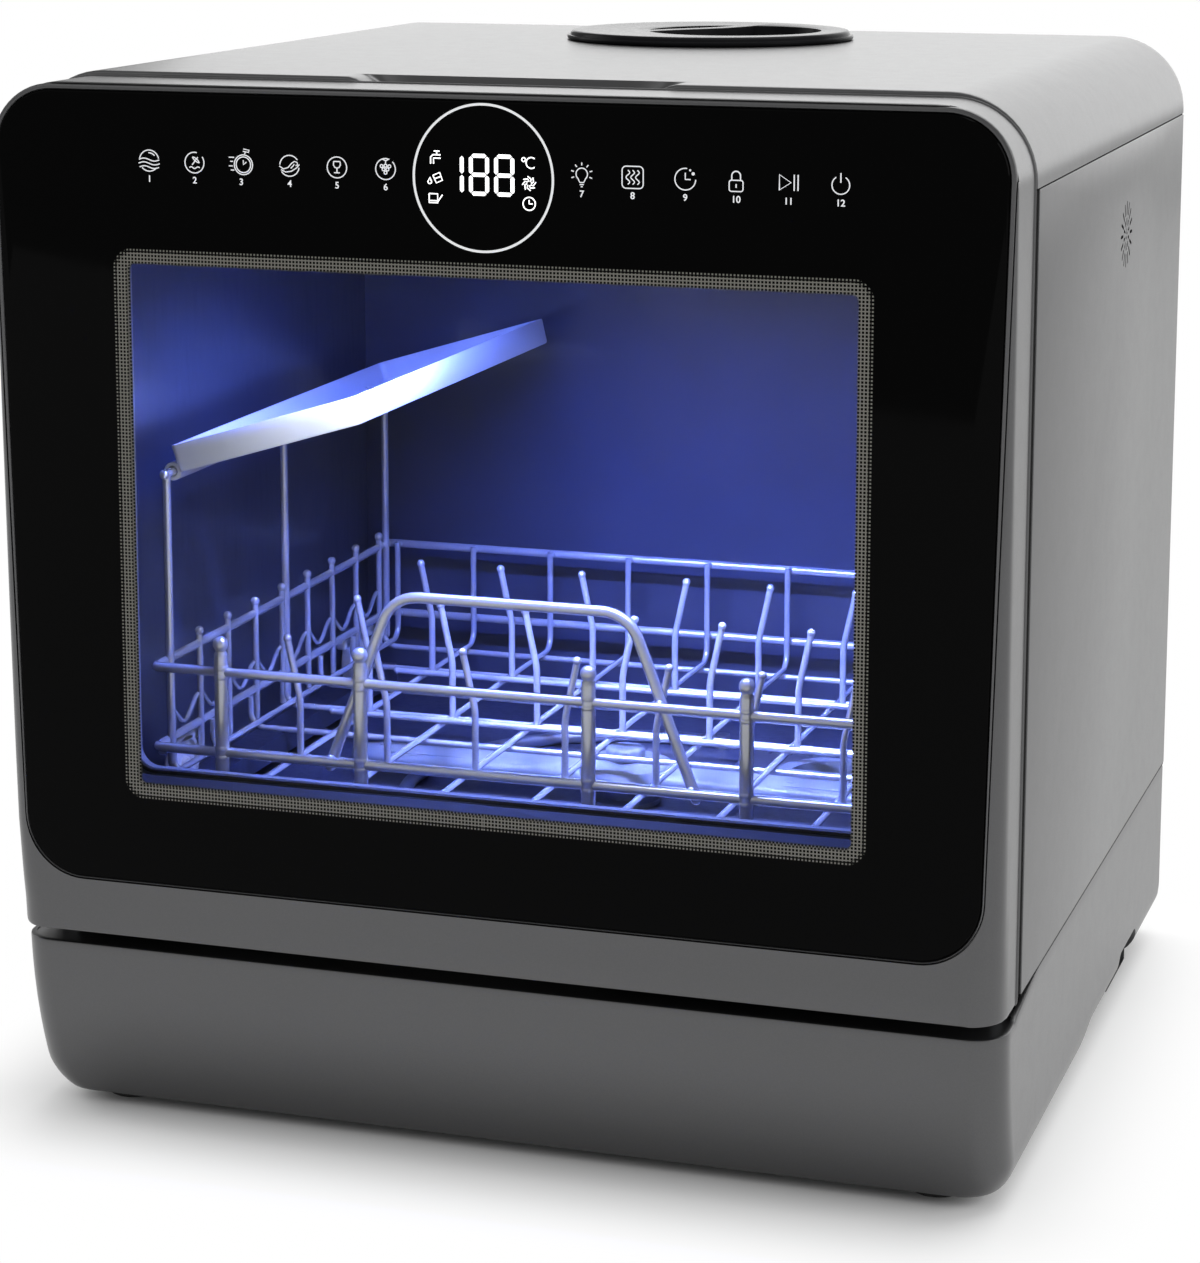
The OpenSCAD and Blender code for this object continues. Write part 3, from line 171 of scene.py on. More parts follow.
def casing_finish(name, level, rough=0.34):
    """Satin graphite-silver paint: fine flake, a light orange peel and faint handling marks."""
    paint = Paint(name, grey(level), rough, 0.86, Coat_Weight=0.10, Coat_Roughness=0.20)
    sparkle = paint.add("ShaderNodeSeparateColor", {}, {0: paint.cells(0.35)})
    cloud = paint.noise(60, 3)
    marks = paint.noise(9, 5, 0.65)
    tone = sparkle * 0.08 + cloud * 0.03 + 0.94
    paint.feed("Base Color", paint.add("ShaderNodeMix", {"data_type": "RGBA", "blend_type": "MULTIPLY"}, {
        0: 1.0, 6: (level, level, level * 1.02, 1),
        7: paint.add("ShaderNodeCombineColor", {}, {0: tone, 1: tone, 2: tone})}, 2))
    paint.feed("Roughness", marks.step(0.3, 0.8) * 0.02 + sparkle * 0.04 + (rough - 0.03))
    paint.bump(paint.noise(1.6, 2), 0.03, 0.04)
    return paint.material


def moulded(name, colour, rough, grain=0.5, depth=0.06, strength=0.35, coat=0.0, mottle=0.08, shine=0.5):
    """Moulded plastic with a fine spark-eroded grain and slight mottling."""
    paint = Paint(name, colour, rough, 0.0, Coat_Weight=coat, Coat_Roughness=0.12, Specular_IOR_Level=shine)
    cloud = paint.noise(35, 3)
    fine = paint.noise(grain, 3, 0.6)
    light = [min(1, c * (1 + mottle)) for c in colour]
    dark = [c * (1 - mottle) for c in colour]
    paint.feed("Base Color", paint.mix(cloud, dark, light))
    paint.feed("Roughness", fine * 0.10 + (rough - 0.05))
    paint.bump(fine, strength, depth)
    return paint.material


def brushed(name, colour, rough, stretch, metallic=1.0):
    """Metal brushed along one axis."""
    paint = Paint(name, colour, rough, metallic)
    lines = paint.noise(0.5, 4, 0.6, stretch)
    cloud = paint.noise(25, 2)
    paint.feed("Base Color", paint.mix(lines, [c * 0.86 for c in colour], colour))
    paint.feed("Roughness", lines * 0.14 + cloud * 0.06 + (rough - 0.08))
    paint.bump(lines, 0.12, 0.03)
    return paint.material


def coated_wire():
    """Steel wire under a thin smooth coat, a little uneven along its length."""
    paint = Paint("wire_coating", (0.66, 0.68, 0.73), 0.24, 0.6, Coat_Weight=0.6, Coat_Roughness=0.08)
    run = paint.noise(14, 3)
    fine = paint.noise(0.7, 2)
    paint.feed("Base Color", paint.mix(run, (0.62, 0.64, 0.70), (0.70, 0.72, 0.77)))
    paint.feed("Roughness", fine * 0.04 + run * 0.06 + 0.18)
    paint.bump(run * 0.6 + fine * 0.1, 0.05, 0.06)
    return paint.material


def rubber(name, level, shine=0.35):
    """Matt black rubber with a little dust on it."""
    paint = Paint(name, grey(level), 0.72, 0.0, Specular_IOR_Level=shine)
    dust = paint.noise(4, 4, 0.65)
    fine = paint.noise(0.4, 2)
    paint.feed("Base Color", paint.mix(dust.step(0.45, 0.8), grey(level), grey(level * 1.5)))
    paint.feed("Roughness", dust * 0.14 + 0.64)
    paint.bump(fine, 0.25, 0.05)
    return paint.material


def circuit_board():
    """Green solder mask with faint copper tracks below it."""
    paint = Paint("solder_mask", (0.02, 0.16, 0.07), 0.32, 0.0, Coat_Weight=0.4, Coat_Roughness=0.1)
    x, _, z = paint.axes()
    sway = paint.noise(12, 1)
    tracks = (x + z + sway * 6).calc("PINGPONG", 1.6).step(0.9, 1.1)
    paint.feed("Base Color", paint.mix(tracks, (0.012, 0.11, 0.045), (0.03, 0.23, 0.09)))
    paint.bump(tracks, 0.2, 0.05)
    return paint.material


# The clear area in the door glass: half its width, its foot, its top and its corners
WINDOW_X, WINDOW_Z0, WINDOW_Z1, WINDOW_R = 150.0, 151.0, 366.0, 2.6
# The dotted border round it: its pitch, its width and where its first line lies
DOT_PITCH, DOT_BAND, FIRST_LINE = 1.45, 6.2, 1.27


def door_glass():
    """Tempered glass, printed black behind, with a clear window whose edge breaks up into dots; the dots glow
    a little, a painted highlight.
    """
    paint = Paint("door_glass", grey(0.0012), 0.035, 0.0, IOR=1.5, Specular_IOR_Level=0.035,
                  Emission_Strength=0.22)
    x, _, z = paint.axes()
    mid_z = (WINDOW_Z0 + WINDOW_Z1) / 2
    half_z = (WINDOW_Z1 - WINDOW_Z0) / 2

    # Distance outside the rounded window, in mm
    over_x = x.calc("ABSOLUTE") - (WINDOW_X - WINDOW_R)
    over_z = (z - mid_z).calc("ABSOLUTE") - (half_z - WINDOW_R)
    corner = paint.length(over_x.calc("MAXIMUM", 0), over_z.calc("MAXIMUM", 0))
    inner = over_x.calc("MAXIMUM", over_z).calc("MINIMUM", 0)
    outside = corner + inner - WINDOW_R
    clear = 1 - outside.step(-0.4, 0.7)

    # Grid of printed lines near the window, of which only the crossings are left further out
    along_x = x.calc("ABSOLUTE") - (WINDOW_X + FIRST_LINE)
    along_z = (z - mid_z).calc("ABSOLUTE") - (half_z + FIRST_LINE)
    dot_x = ((along_x / DOT_PITCH).calc("FRACT") - 0.5).calc("ABSOLUTE")
    dot_z = ((along_z / DOT_PITCH).calc("FRACT") - 0.5).calc("ABSOLUTE")
    grid = dot_x.calc("MAXIMUM", dot_z).step(0.28, 0.36)
    crossing = dot_x.calc("MINIMUM", dot_z).step(0.22, 0.30)
    far = outside.step(DOT_BAND - 1.9, DOT_BAND - 1.2)
    dots = (grid * (1 - far) + crossing * far) * (outside > -0.1) * (outside < DOT_BAND)

    smear = paint.noise(70, 4, 0.55)
    paint.feed("Base Color", paint.mix(dots, grey(0.0015), (0.12, 0.117, 0.105)))
    # The printed dots get a faint emission: painted highlight on the print.
    paint.feed("Emission Color", paint.mix(dots, grey(0.0), (0.30, 0.29, 0.26)))
    paint.feed("Alpha", 1 - clear * 0.93)
    paint.feed("Roughness", smear.step(0.4, 0.8) * 0.05 + 0.03)
    paint.bump(smear, 0.02, 0.2)
    return paint.material


def pane():
    """Clear glass with a faint haze from hard water."""
    paint = Paint("inner_glass", (0.02, 0.022, 0.03), 0.05, 0.0, IOR=1.5, Specular_IOR_Level=0.25)
    haze = paint.noise(22, 4, 0.6)
    paint.feed("Alpha", haze.step(0.4, 0.9) * 0.04 + 0.04)
    paint.feed("Roughness", haze * 0.06 + 0.03)
    return paint.material


def glow(name, colour, strength, body=grey(0.8), variation=0.12):
    """A lens or display lit by its lamp, or a print made to glow as painted light; a little uneven."""
    paint = Paint(name, body, 0.45, 0.0, Emission_Strength=strength)
    uneven = paint.noise(3.0, 2)
    paint.feed("Emission Color", paint.mix(uneven, [c * (1 - variation) for c in colour], colour))
    paint.feed("Roughness", uneven * 0.1 + 0.4)
    return paint.material


def tub_finish():
    """Smooth moulded wall, a little marked by water."""
    colour = (0.042, 0.047, 0.075)
    paint = Paint("tub_wall", colour, 0.34, 0.0, Coat_Weight=0.15, Coat_Roughness=0.2)
    cloud = paint.noise(40, 3)
    streak = paint.noise(3, 4, 0.6, (1, 1, 0.12))
    paint.feed("Base Color", paint.mix(cloud, [c * 0.88 for c in colour], [c * 1.12 for c in colour]))
    paint.feed("Roughness", streak.step(0.4, 0.8) * 0.12 + 0.30)
    paint.bump(paint.noise(0.8, 2), 0.12, 0.05)
    return paint.material


MATERIALS = {
    "casing_paint": casing_finish("casing_paint", 0.108),
    "black_plastic": moulded("black_grained", (0.020, 0.021, 0.023), 0.55),
    "black_gloss": moulded("black_gloss", (0.010, 0.010, 0.011), 0.2, 3.0, 0.01, 0.02, shine=0.02),
    "door_glass": door_glass(),
    # Near-black, dull finish for parts that stand in for the shade in gaps: painted shade.
    "painted_gap_shade": rubber("painted_gap_shade", 0.004, 0.05),
    "clear_glass": pane(),
    "rubber": rubber("door_rubber", 0.035),
    "tub_wall": tub_finish(),
    "steel": brushed("brushed_steel", (0.62, 0.63, 0.65), 0.32, (1, 40, 40)),
    "coated_wire": coated_wire(),
    "pale_plastic": moulded("pale_moulding", (0.74, 0.76, 0.79), 0.36, 0.6, 0.03, 0.15, 0.1, 0.03),
    "grey_plastic": moulded("grey_moulding", (0.20, 0.215, 0.23), 0.42, 0.6, 0.04, 0.25, 0.0, 0.06),
    "tank_plastic": moulded("tank_polymer", (0.62, 0.66, 0.70), 0.38, 6.0, 0.3, 0.2, 0.1, 0.05),
    "circuit_board": circuit_board(),
    "lamp": glow("lamp_lens", (0.55, 0.68, 1.0), 3.0),
    "motor_steel": brushed("motor_can", (0.10, 0.20, 0.32), 0.42, (40, 1, 1), 0.5),
}
SLOT_OF = {part["node"]: part["material_slot"] for part in frame["record"]["subparts"]}
for cad_name, cad_node in NODES.items():
    # The frame behind the door shows only in the gap round it; it is finished near-black as painted shade for
    # that gap
    finish_name = "painted_gap_shade" if cad_name == "front_frame" else SLOT_OF[cad_name]
    cad_node.data.materials.clear()
    cad_node.data.materials.append(MATERIALS[finish_name])


# ---------------------------------------------------------------- modelling

def alone(piece):
    """Leaves only this piece selected and active."""
    bpy.ops.object.select_all(action="DESELECT")
    piece.select_set(True)
    bpy.context.view_layer.objects.active = piece


def made(name):
    """The object that the last step made, under a name of its own."""
    piece = bpy.context.object
    piece.name = piece.data.name = name
    return piece


@contextmanager
def editing(piece, mode):
    """Edit mode on one piece, with nothing selected at its start."""
    alone(piece)
    bpy.ops.object.mode_set(mode="EDIT")
    bpy.ops.mesh.select_mode(type=mode)
    bpy.ops.mesh.select_all(action="DESELECT")
    yield
    bpy.ops.object.mode_set(mode="OBJECT")


def settle(piece):
    """Applies the object's place, so that the object sits at the origin."""
    alone(piece)
    bpy.ops.object.transform_apply(location=True, rotation=True, scale=True)
    return piece


def block(name, low, high):
    """A box between two corners, in mm."""
    middle = [(a + b) / 2 * MM for a, b in zip(low, high)]
    bpy.ops.mesh.primitive_cube_add(size=1, location=middle)
    piece = made(name)
    piece.scale = [(b - a) * MM for a, b in zip(low, high)]
    return settle(piece)


def drum(name, start, radius, length, along_x=False, sides=64):
    """A cylinder that stands on its start, or lies along X from it, in mm."""
    step = Vector((1, 0, 0) if along_x else (0, 0, 1))
    turn = (0, math.pi / 2, 0) if along_x else (0, 0, 0)
    bpy.ops.mesh.primitive_cylinder_add(vertices=sides, radius=radius * MM, depth=length * MM,
                                        location=(Vector(start) + step * length / 2) * MM, rotation=turn)
    return settle(made(name))


def joined(name, pieces):
    """Several pieces joined into one."""
    bpy.ops.object.select_all(action="DESELECT")
    for piece in pieces:
        piece.select_set(True)
    bpy.context.view_layer.objects.active = pieces[0]
    if len(pieces) > 1:
        bpy.ops.object.join()
    pieces[0].name = pieces[0].data.name = name
    return pieces[0]


def loft(name, rings, ends=True, loop=False):
    """Circles stacked, bridged and moved onto rings of points (mm), with filled ends or made a loop."""
    count = len(rings[0])
    bpy.ops.mesh.primitive_circle_add(vertices=count)
    piece = made(name)
    with editing(piece, "EDGE"):
        for _ in rings[1:]:
            bpy.ops.mesh.primitive_circle_add(vertices=count)
        last = len(rings) - 1
        turn = 2 * math.pi / count
        set_places(piece, [(math.cos(turn * k), math.sin(turn * k), n)
                           for n in range(last + 1) for k in range(count)])
        for pair in [(n, n + 1) for n in range(last)] + ([(last, 0)] if loop else []):
            choose_rings(piece, count, pair)
            bpy.ops.mesh.bridge_edge_loops()
        set_places(piece, [point for ring in rings for point in ring])
        if ends and not loop:
            for end in (0, last):
                choose_rings(piece, count, (end,))
                bpy.ops.mesh.edge_face_add()
        bpy.ops.mesh.select_all(action="SELECT")
        bpy.ops.mesh.normals_make_consistent(inside=False)
    return piece


def set_places(piece, points):
    """Moves the vertices, in their own order, to points in mm."""
    mesh = bmesh.from_edit_mesh(piece.data)
    for vertex, point in zip(mesh.verts, points):
        vertex.co = Vector(point) * MM
    bmesh.update_edit_mesh(piece.data)


def choose_rings(piece, count, chosen):
    """Selects the edges of these rings, each of which has that many vertices."""
    bpy.ops.mesh.select_all(action="DESELECT")
    mesh = bmesh.from_edit_mesh(piece.data)
    for edge in mesh.edges:
        home = [vertex.index // count for vertex in edge.verts]
        if home[0] == home[1] and home[0] in chosen:
            edge.select_set(True)
    bmesh.update_edit_mesh(piece.data)


def arc(centre, radius, start, end, steps=20):
    """Points on an arc in a plane, angles in degrees."""
    angles = [math.radians(start + (end - start) * k / steps) for k in range(steps + 1)]
    return [(centre[0] + radius * math.cos(a), centre[1] + radius * math.sin(a)) for a in angles]


def leaned(points, centre, angle):
    """Points about the origin of a plane, turned by an angle and moved to a centre."""
    c, s = math.cos(angle), math.sin(angle)
    return [(centre[0] + u * c - w * s, centre[1] + u * s + w * c) for u, w in points]


def ring(centre, radius, sides):
    """Corners of an even polygon round a centre in a plane."""
    return arc(centre, radius, 0, 360, sides)[:-1]


def rounded(x0, x1, z0, z1, low, high, steps=10):
    """Outline of a rounded rectangle, anticlockwise from its lower right corner."""
    low, high = max(low, 0.01), max(high, 0.01)
    corners = ((x1 - low, z0 + low, low), (x1 - high, z1 - high, high), (x0 + high, z1 - high, high),
               (x0 + low, z0 + low, low))
    return [point for turn, (x, z, radius) in enumerate(corners)
            for point in arc((x, z), radius, 90 * turn - 90, 90 * turn, steps)]


def inset(outline_args, by, steps=10):
    """A rounded rectangle, given as for rounded(), drawn in by a distance."""
    x0, x1, z0, z1, low, high = outline_args
    return rounded(x0 + by, x1 - by, z0 + by, z1 - by, low - by, high - by, steps)


def in_xz(points, y):
    """A front view stood up at a depth."""
    return [(a, y, b) for a, b in points]


def in_xy(points, z):
    """A plan laid at a height."""
    return [(a, b, z) for a, b in points]


def in_yz(points, x):
    """A side view stood up at a distance to the side."""
    return [(x, a, b) for a, b in points]


def mirrored(points):
    """The other half of an outline, in the order that closes it."""
    return [(-x, y) for x, y in reversed(points)]


def turned(name, shape, centre, sides=96):
    """A shape (radius, height) turned about an upright axis."""
    return loft(name, [in_xy(ring(centre, r, sides), z) for r, z in shape])


def slab_y(name, outline_args, y0, y1, edge, steps):
    """A rounded plate that lies across Y, its front (y0) and back edges softened."""
    front = [(edge, 0), (edge * 0.3, edge * 0.3), (0, edge)]
    rings = [in_xz(inset(outline_args, by, steps), y0 + back) for by, back in front]
    rings += [in_xz(inset(outline_args, by, steps), y1 - back) for by, back in reversed(front)]
    return loft(name, rings)


def cut(piece, *tools):
    """Takes tools away from a piece and deletes them."""
    for tool in tools:
        alone(piece)
        change = piece.modifiers.new("cut", "BOOLEAN")
        change.operation, change.object, change.solver = "DIFFERENCE", tool, "EXACT"
        bpy.ops.object.modifier_apply(modifier=change.name)
        bpy.data.objects.remove(tool)
    return piece


def soften(piece, width, segments=2, angle=35):
    """Bevels the sharp edges, width in mm."""
    alone(piece)
    change = piece.modifiers.new("soften", "BEVEL")
    change.width, change.segments = width * MM, segments
    change.limit_method, change.angle_limit = "ANGLE", math.radians(angle)
    bpy.ops.object.modifier_apply(modifier=change.name)
    return piece


def wire(name, runs, radius, bend=0.0, sides=3, closed=False):
    """Round wires along lists of points (mm), with their corners bent to a radius."""
    curve = bpy.data.curves.new(name, "CURVE")
    curve.dimensions = "3D"
    curve.bevel_depth, curve.bevel_resolution = radius * MM, sides
    curve.use_fill_caps = True
    for run in runs:
        path = bent(run, bend) if bend else [Vector(p) for p in run]
        spline = curve.splines.new("POLY")
        spline.points.add(len(path) - 1)
        for point, co in zip(spline.points, path):
            point.co = (*(co * MM), 1)
        spline.use_cyclic_u = closed
    piece = bpy.data.objects.new(name, curve)
    bpy.context.scene.collection.objects.link(piece)
    alone(piece)
    bpy.ops.object.convert(target="MESH")
    return made(name)


def bent(run, bend, steps=7):
    """The run with each corner replaced by an arc."""
    run = [Vector(p) for p in run]
    path = [run[0]]
    for before, corner, after in zip(run, run[1:], run[2:]):
        a, b = before - corner, after - corner
        half = a.angle(b) / 2
        back = min(bend / math.tan(half), a.length * 0.49, b.length * 0.49)
        radius = back * math.tan(half)
        a.normalize()
        b.normalize()
        centre = corner + (a + b).normalized() * (radius / math.sin(half))
        start, end = corner + a * back - centre, corner + b * back - centre
        axis = start.cross(end).normalized()
        sweep = start.angle(end)
        path += [centre + Matrix.Rotation(sweep * k / steps, 3, axis) @ start for k in range(steps + 1)]
    return path + [run[-1]]


def beads(name, points, radius, sides=12):
    """Small balls, modelled once and copied."""
    bpy.ops.mesh.primitive_uv_sphere_add(segments=sides, ring_count=sides // 2 + 1, radius=radius * MM,
                                         location=Vector(points[0]) * MM)
    first = settle(bpy.context.object)
    balls = [first]
    for point in points[1:]:
        alone(first)
        bpy.ops.object.duplicate(linked=False)
        ball = bpy.context.object
        ball.location = (Vector(point) - Vector(points[0])) * MM
        balls.append(settle(ball))
    return joined(name, balls)


def finish(piece, slot, body, replaces=(), material=None, angle=32):
    """Shading, the material (that of the slot unless one is given), the body, and hiding the CAD nodes that
    the piece stands for.
    """
    if angle:
        alone(piece)
        bpy.ops.object.shade_smooth_by_angle(angle=math.radians(angle))
    piece.data.materials.clear()
    piece.data.materials.append(material or MATERIALS[slot])
    if replaces:
        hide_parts(*replaces)
    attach(piece, body)


# ---------------------------------------------------------------- door

SIDE_X, FRONT_Y, DOOR_BACK = 210.0, -200.0, -167.0
DOOR_FACE = FRONT_Y + 0.35
DOOR_Z0, DOOR_Z1 = 84.0, 438.5
DOOR_TOP_R, DOOR_LOW_R = 32.0, 3.0
DOOR_EDGE, REAR_EDGE = 1.0, 0.6
DOOR_WALL = 2.4
AHEAD = FRONT_Y - 1  # where a tool starts that cuts in from the front
HINGE_X, HINGE_W, HINGE_Z0, HINGE_Z1 = 201.0, 4.6, 80.0, 97.4
# Plan radius of the front corners at heights up the door: round at the foot, sharp at the top
CORNER_FALL = [(84, 16), (95, 15), (105, 13), (115, 11.5), (130, 9.5), (160, 8), (220, 6),
               (300, 4), (380, 2.2), (404, 1.2), (440, 1.2)]
DOOR_STEPS = [0, 0.15, 0.4, 0.8, 1.4, 2.4, 3.6, 5.2, 7.4, 10.4, 16]


def corner_radius(z):
    """Plan radius of the front corner at a height."""
    for (z0, r0), (z1, r1) in zip(CORNER_FALL, CORNER_FALL[1:]):
        if z <= z1:
            return r0 + (r1 - r0) * (z - z0) / (z1 - z0)
    return CORNER_FALL[-1][1]


def rolled(depth, radius):
    """How far a rounded edge stands back at a depth behind its start."""
    return radius - math.sqrt(radius ** 2 - (radius - depth) ** 2) if depth < radius else 0.0


def door_outline(shrink=0.0):
    """Front view of the door: points, outward directions and the share of the plan radius, anticlockwise."""
    low, high = DOOR_LOW_R - min(shrink, 2), DOOR_TOP_R - shrink
    x, z0, z1 = SIDE_X - shrink, DOOR_Z0 + shrink, DOOR_Z1 - shrink
    half = [(x - 1 + nx, z0 + low + low * nz, nx, nz, 1) for nx, nz in arc((0, 0), 1, -90, 0, 6)]
    half += [(x, z, 1, 0, 1) for z, _ in CORNER_FALL[1:-2]]
    half += [(x - high + high * nx, z1 - high + high * nz, nx, nz, nx)
             for nx, nz in arc((0, 0), 1, 0, 90, 14)]
    return half + [(-px, pz, -nx, nz, -share) for px, pz, nx, nz, share in reversed(half)]


def door_ring(depth, back=0.0, shrink=0.0):
    """One ring of the door's skin at a depth behind its face; back rolls the rear edge."""
    rear = rolled(back, REAR_EDGE)
    top = rolled(depth, DOOR_EDGE) + rear
    points = []
    for x, z, nx, nz, share in door_outline(shrink):
        side = rolled(depth, max(corner_radius(z) - shrink, 0.5))
        points.append((x - share * side - nx * rear, DOOR_FACE + depth, z - nz * top))
    return points


# The glass, wider at the top, in a trim ring that is wider at the top too
PANE_X, PANE_Z0, PANE_Z1, PANE_R = 206.6, 109.0, 434.8, 25.0
PANE_WIDEST_Z, PANE_TAPER = 410.0, 0.0186
TRIM_TOP, TRIM_LEAST, TRIM_TAPER = 2.2, 0.9, 0.0044
GROOVE = 0.4
PANE_SEAT = DOOR_FACE + 2.6


def pane_outline(grow=lambda z: 0.0):
    """Front view of the glass, moved outwards by grow(z)."""
    points = []
    for x, z in rounded(-PANE_X, PANE_X, PANE_Z0, PANE_Z1, PANE_R, PANE_R, 14):
        corner_x = math.copysign(PANE_X - PANE_R, x)
        corner_z = PANE_Z0 + PANE_R if z < (PANE_Z0 + PANE_Z1) / 2 else PANE_Z1 - PANE_R
        nx, nz = (x - corner_x) / PANE_R, (z - corner_z) / PANE_R
        taper = (z - PANE_WIDEST_Z) * PANE_TAPER * x / PANE_X
        points.append((x + taper + nx * grow(z), z + nz * grow(z)))
    return points


def trim_width(z):
    """Width of the trim ring at a height."""
    return max(TRIM_LEAST, TRIM_TOP + (z - PANE_WIDEST_Z) * TRIM_TAPER)


def frame_rings(x, z0, z1, low, high, steps, shape):
    """Rounded frames, x to each side, each grown by a distance and put at a depth."""
    return [in_xz(inset((-x, x, z0, z1, low, high), -grow, steps), y) for grow, y in shape]


INNER_X, INNER_Z0, INNER_Z1, INNER_R = 165.0, 149.0, 372.0, 8.0


def window_rings(*shape):
    """Rings round the opening behind the printed window, which is wider than the print."""
    return frame_rings(INNER_X, INNER_Z0, INNER_Z1, INNER_R, INNER_R, 8, shape)


def hinge_slots(spare, y0, y1):
    """Slots for the two hinge arms in the foot of the door."""
    half = HINGE_W / 2 + spare
    return [block("hinge_slot", (x - half, y0, HINGE_Z0), (x + half, y1, HINGE_Z1 + spare))
            for x in (-HINGE_X, HINGE_X)]


def make_door_body():
    """Painted door shell: rolled front edges, a seat for the glass and a hollow behind it."""
    depth = DOOR_BACK - DOOR_FACE
    rings = [door_ring(d) for d in DOOR_STEPS + [depth - 0.6]]
    rings += [door_ring(depth - 0.25, 0.35), door_ring(depth, REAR_EDGE)]
    body = loft("door_body", rings)
    outline = pane_outline(lambda z: trim_width(z) + GROOVE)
    seat = loft("seat", [in_xz(outline, AHEAD), in_xz(outline, PANE_SEAT)])
    hollow = loft("hollow", [door_ring(d, shrink=DOOR_WALL) for d in (6.0, 9.5, 13, 18, 45)])
    window = loft("window", window_rings((3, AHEAD), (3, AHEAD + 11)))
    cut(body, seat, hollow, window, *hinge_slots(0, -195.2, -160))
    finish(body, "casing_paint", "door", ["door_frame"], angle=30)


def make_door_trim():
    """Thin bright ring round the glass, rolled over on both edges."""
    rings = []
    for share, edge, y in (
            (0, 0.1, PANE_SEAT - 0.05), (0, 0.1, DOOR_FACE + 0.45), (0, 0.45, DOOR_FACE + 0.05),
            (1, -0.55, DOOR_FACE), (1, -0.15, DOOR_FACE + 0.25), (1, 0.0, DOOR_FACE + 0.7),
            (1, 0.0, PANE_SEAT - 0.05)):
        rings.append(in_xz(pane_outline(lambda z: share * trim_width(z) + edge), y))
    finish(loft("glass_trim", rings, loop=True), "casing_paint", "door", angle=40)


def make_door_glass():
    """Tempered pane with a ground edge."""
    rings = []
    for back, y in ((-0.9, FRONT_Y + 0.12), (-0.75, FRONT_Y + 0.16), (-0.15, FRONT_Y + 0.7),
                    (0, FRONT_Y + 0.9), (0, PANE_SEAT - 0.03)):
        rings.append(in_xz(pane_outline(lambda z: back), y))
    finish(loft("front_glass", rings), "door_glass", "door", ["door_glass"], angle=25)


def make_window_surround():
    """Black spacer between the front glass and the inner glass."""
    rings = window_rings((2.4, PANE_SEAT + 0.05), (2.4, -176.2), (1.2, -176.0), (0.9, -176.4),
                         (0.9, PANE_SEAT + 0.3), (1.2, PANE_SEAT + 0.05))
    finish(loft("window_spacer", rings, loop=True), "black_plastic", "door")


def make_inner_pane():
    """Inner glass, its edge ground, in a thin black gasket."""
    rings = window_rings((0.9, -175.6), (1.7, -175.3), (2.0, -174.6), (2.0, -171.0), (1.7, -170.3),
                         (0.9, -170.0))
    finish(loft("inner_pane", rings), "clear_glass", "door", ["door_inner_glass"], angle=30)
    rings = window_rings((2.1, -170.1), (0.5, -170.1), (0.1, -169.6), (0.2, -169.1), (2.1, -169.0))
    finish(loft("pane_gasket", rings, loop=True), "rubber", "door", angle=50)


# The inner panel's flange, its raised field, and the detergent cup in it
FLANGE_X, FLANGE_Z0, FLANGE_Z1, FLANGE_LOW_R, FLANGE_TOP_R = 206.6, 87.4, 435.1, 1.2, 29.0
FIELD_X, FIELD_Z0, FIELD_Z1, FIELD_R, FIELD_Y = 170.0, 116.0, 392.0, 8.0, -164.0
CUP_X0, CUP_X1, CUP_Z0, CUP_Z1 = -70.0, -10.0, 119.0, 142.0


def make_liner():
    """Moulded inner panel: a flat flange, a raised field and a rolled opening for the inner glass."""
    rings = window_rings((0.0, -168.9), (0.0, -165.2), (0.25, -164.5), (0.9, -164.05), (1.8, FIELD_Y))
    rings += frame_rings(FIELD_X, FIELD_Z0, FIELD_Z1, FIELD_R, FIELD_R, 8, (
        (-4.4, FIELD_Y), (-4.0, -164.25), (-3.2, -164.35), (-2.8, FIELD_Y), (-1.4, FIELD_Y), (-0.5, -164.2),
        (-0.05, -164.8), (0.0, -166.4), (0.35, -166.85), (1.1, DOOR_BACK), (9.0, DOOR_BACK), (9.3, -167.25),
        (10.7, -167.25), (11.0, DOOR_BACK)))
    for grow, y in ((-0.4, DOOR_BACK), (0, -167.4), (0, -168.9)):
        rings.append(in_xz(rounded(-FLANGE_X - grow, FLANGE_X + grow, FLANGE_Z0 - grow, FLANGE_Z1 + grow,
                                   FLANGE_LOW_R, FLANGE_TOP_R, 8), y))
    liner = loft("inner_panel", rings, loop=True)
    cup_hole = block("cup_hole", (CUP_X0 - 0.4, -180, CUP_Z0 - 0.4), (CUP_X1 + 0.4, -160, CUP_Z1 + 0.4))
    cut(liner, cup_hole, *hinge_slots(0.1, -180, -160))
    finish(liner, "grey_plastic", "door", ["door_liner"], angle=35)


def make_detergent_cup():
    """Cup with a rolled lip and a sliding lid with a ribbed grip."""
    plan = (CUP_X0, CUP_X1, CUP_Z0, CUP_Z1, 3.0, 3.0)
    shape = ((1.2, -180), (0.3, -179.6), (0, -178.6), (0, -164.6), (0.3, -164.1), (0.8, -164.0),
             (1.3, -164.2), (1.6, -165), (1.9, -176.4), (3.2, -178.0), (5.0, -178.4))
    cup = loft("cup", [in_xz(inset(plan, by, 6), y) for by, y in shape])
    finish(cup, "grey_plastic", "door", ["detergent_cup"], angle=40)
    plate = (CUP_X0 + 0.2, CUP_X1 - 0.2, CUP_Z0 + 0.2, CUP_Z1 - 0.2, 2.8, 2.8)
    parts = [slab_y("lid", plate, -163.65, -162.0, 0.5, 6)]
    for back in (13, 10.4, 7.8):
        rib = (CUP_X1 - back - 0.7, CUP_X1 - back + 0.7, CUP_Z0 + 4, CUP_Z1 - 4, 0.6, 0.6)
        parts.append(slab_y("rib", rib, -162.3, -160.7, 0.4, 4))
    finish(joined("sliding_lid", parts), "grey_plastic", "detergent_lid", ["detergent_lid"], angle=40)


make_door_body()
make_door_trim()
make_door_glass()
make_window_surround()
make_inner_pane()
make_liner()
make_detergent_cup()


# ---------------------------------------------------------------- printed and lit marks on the glass

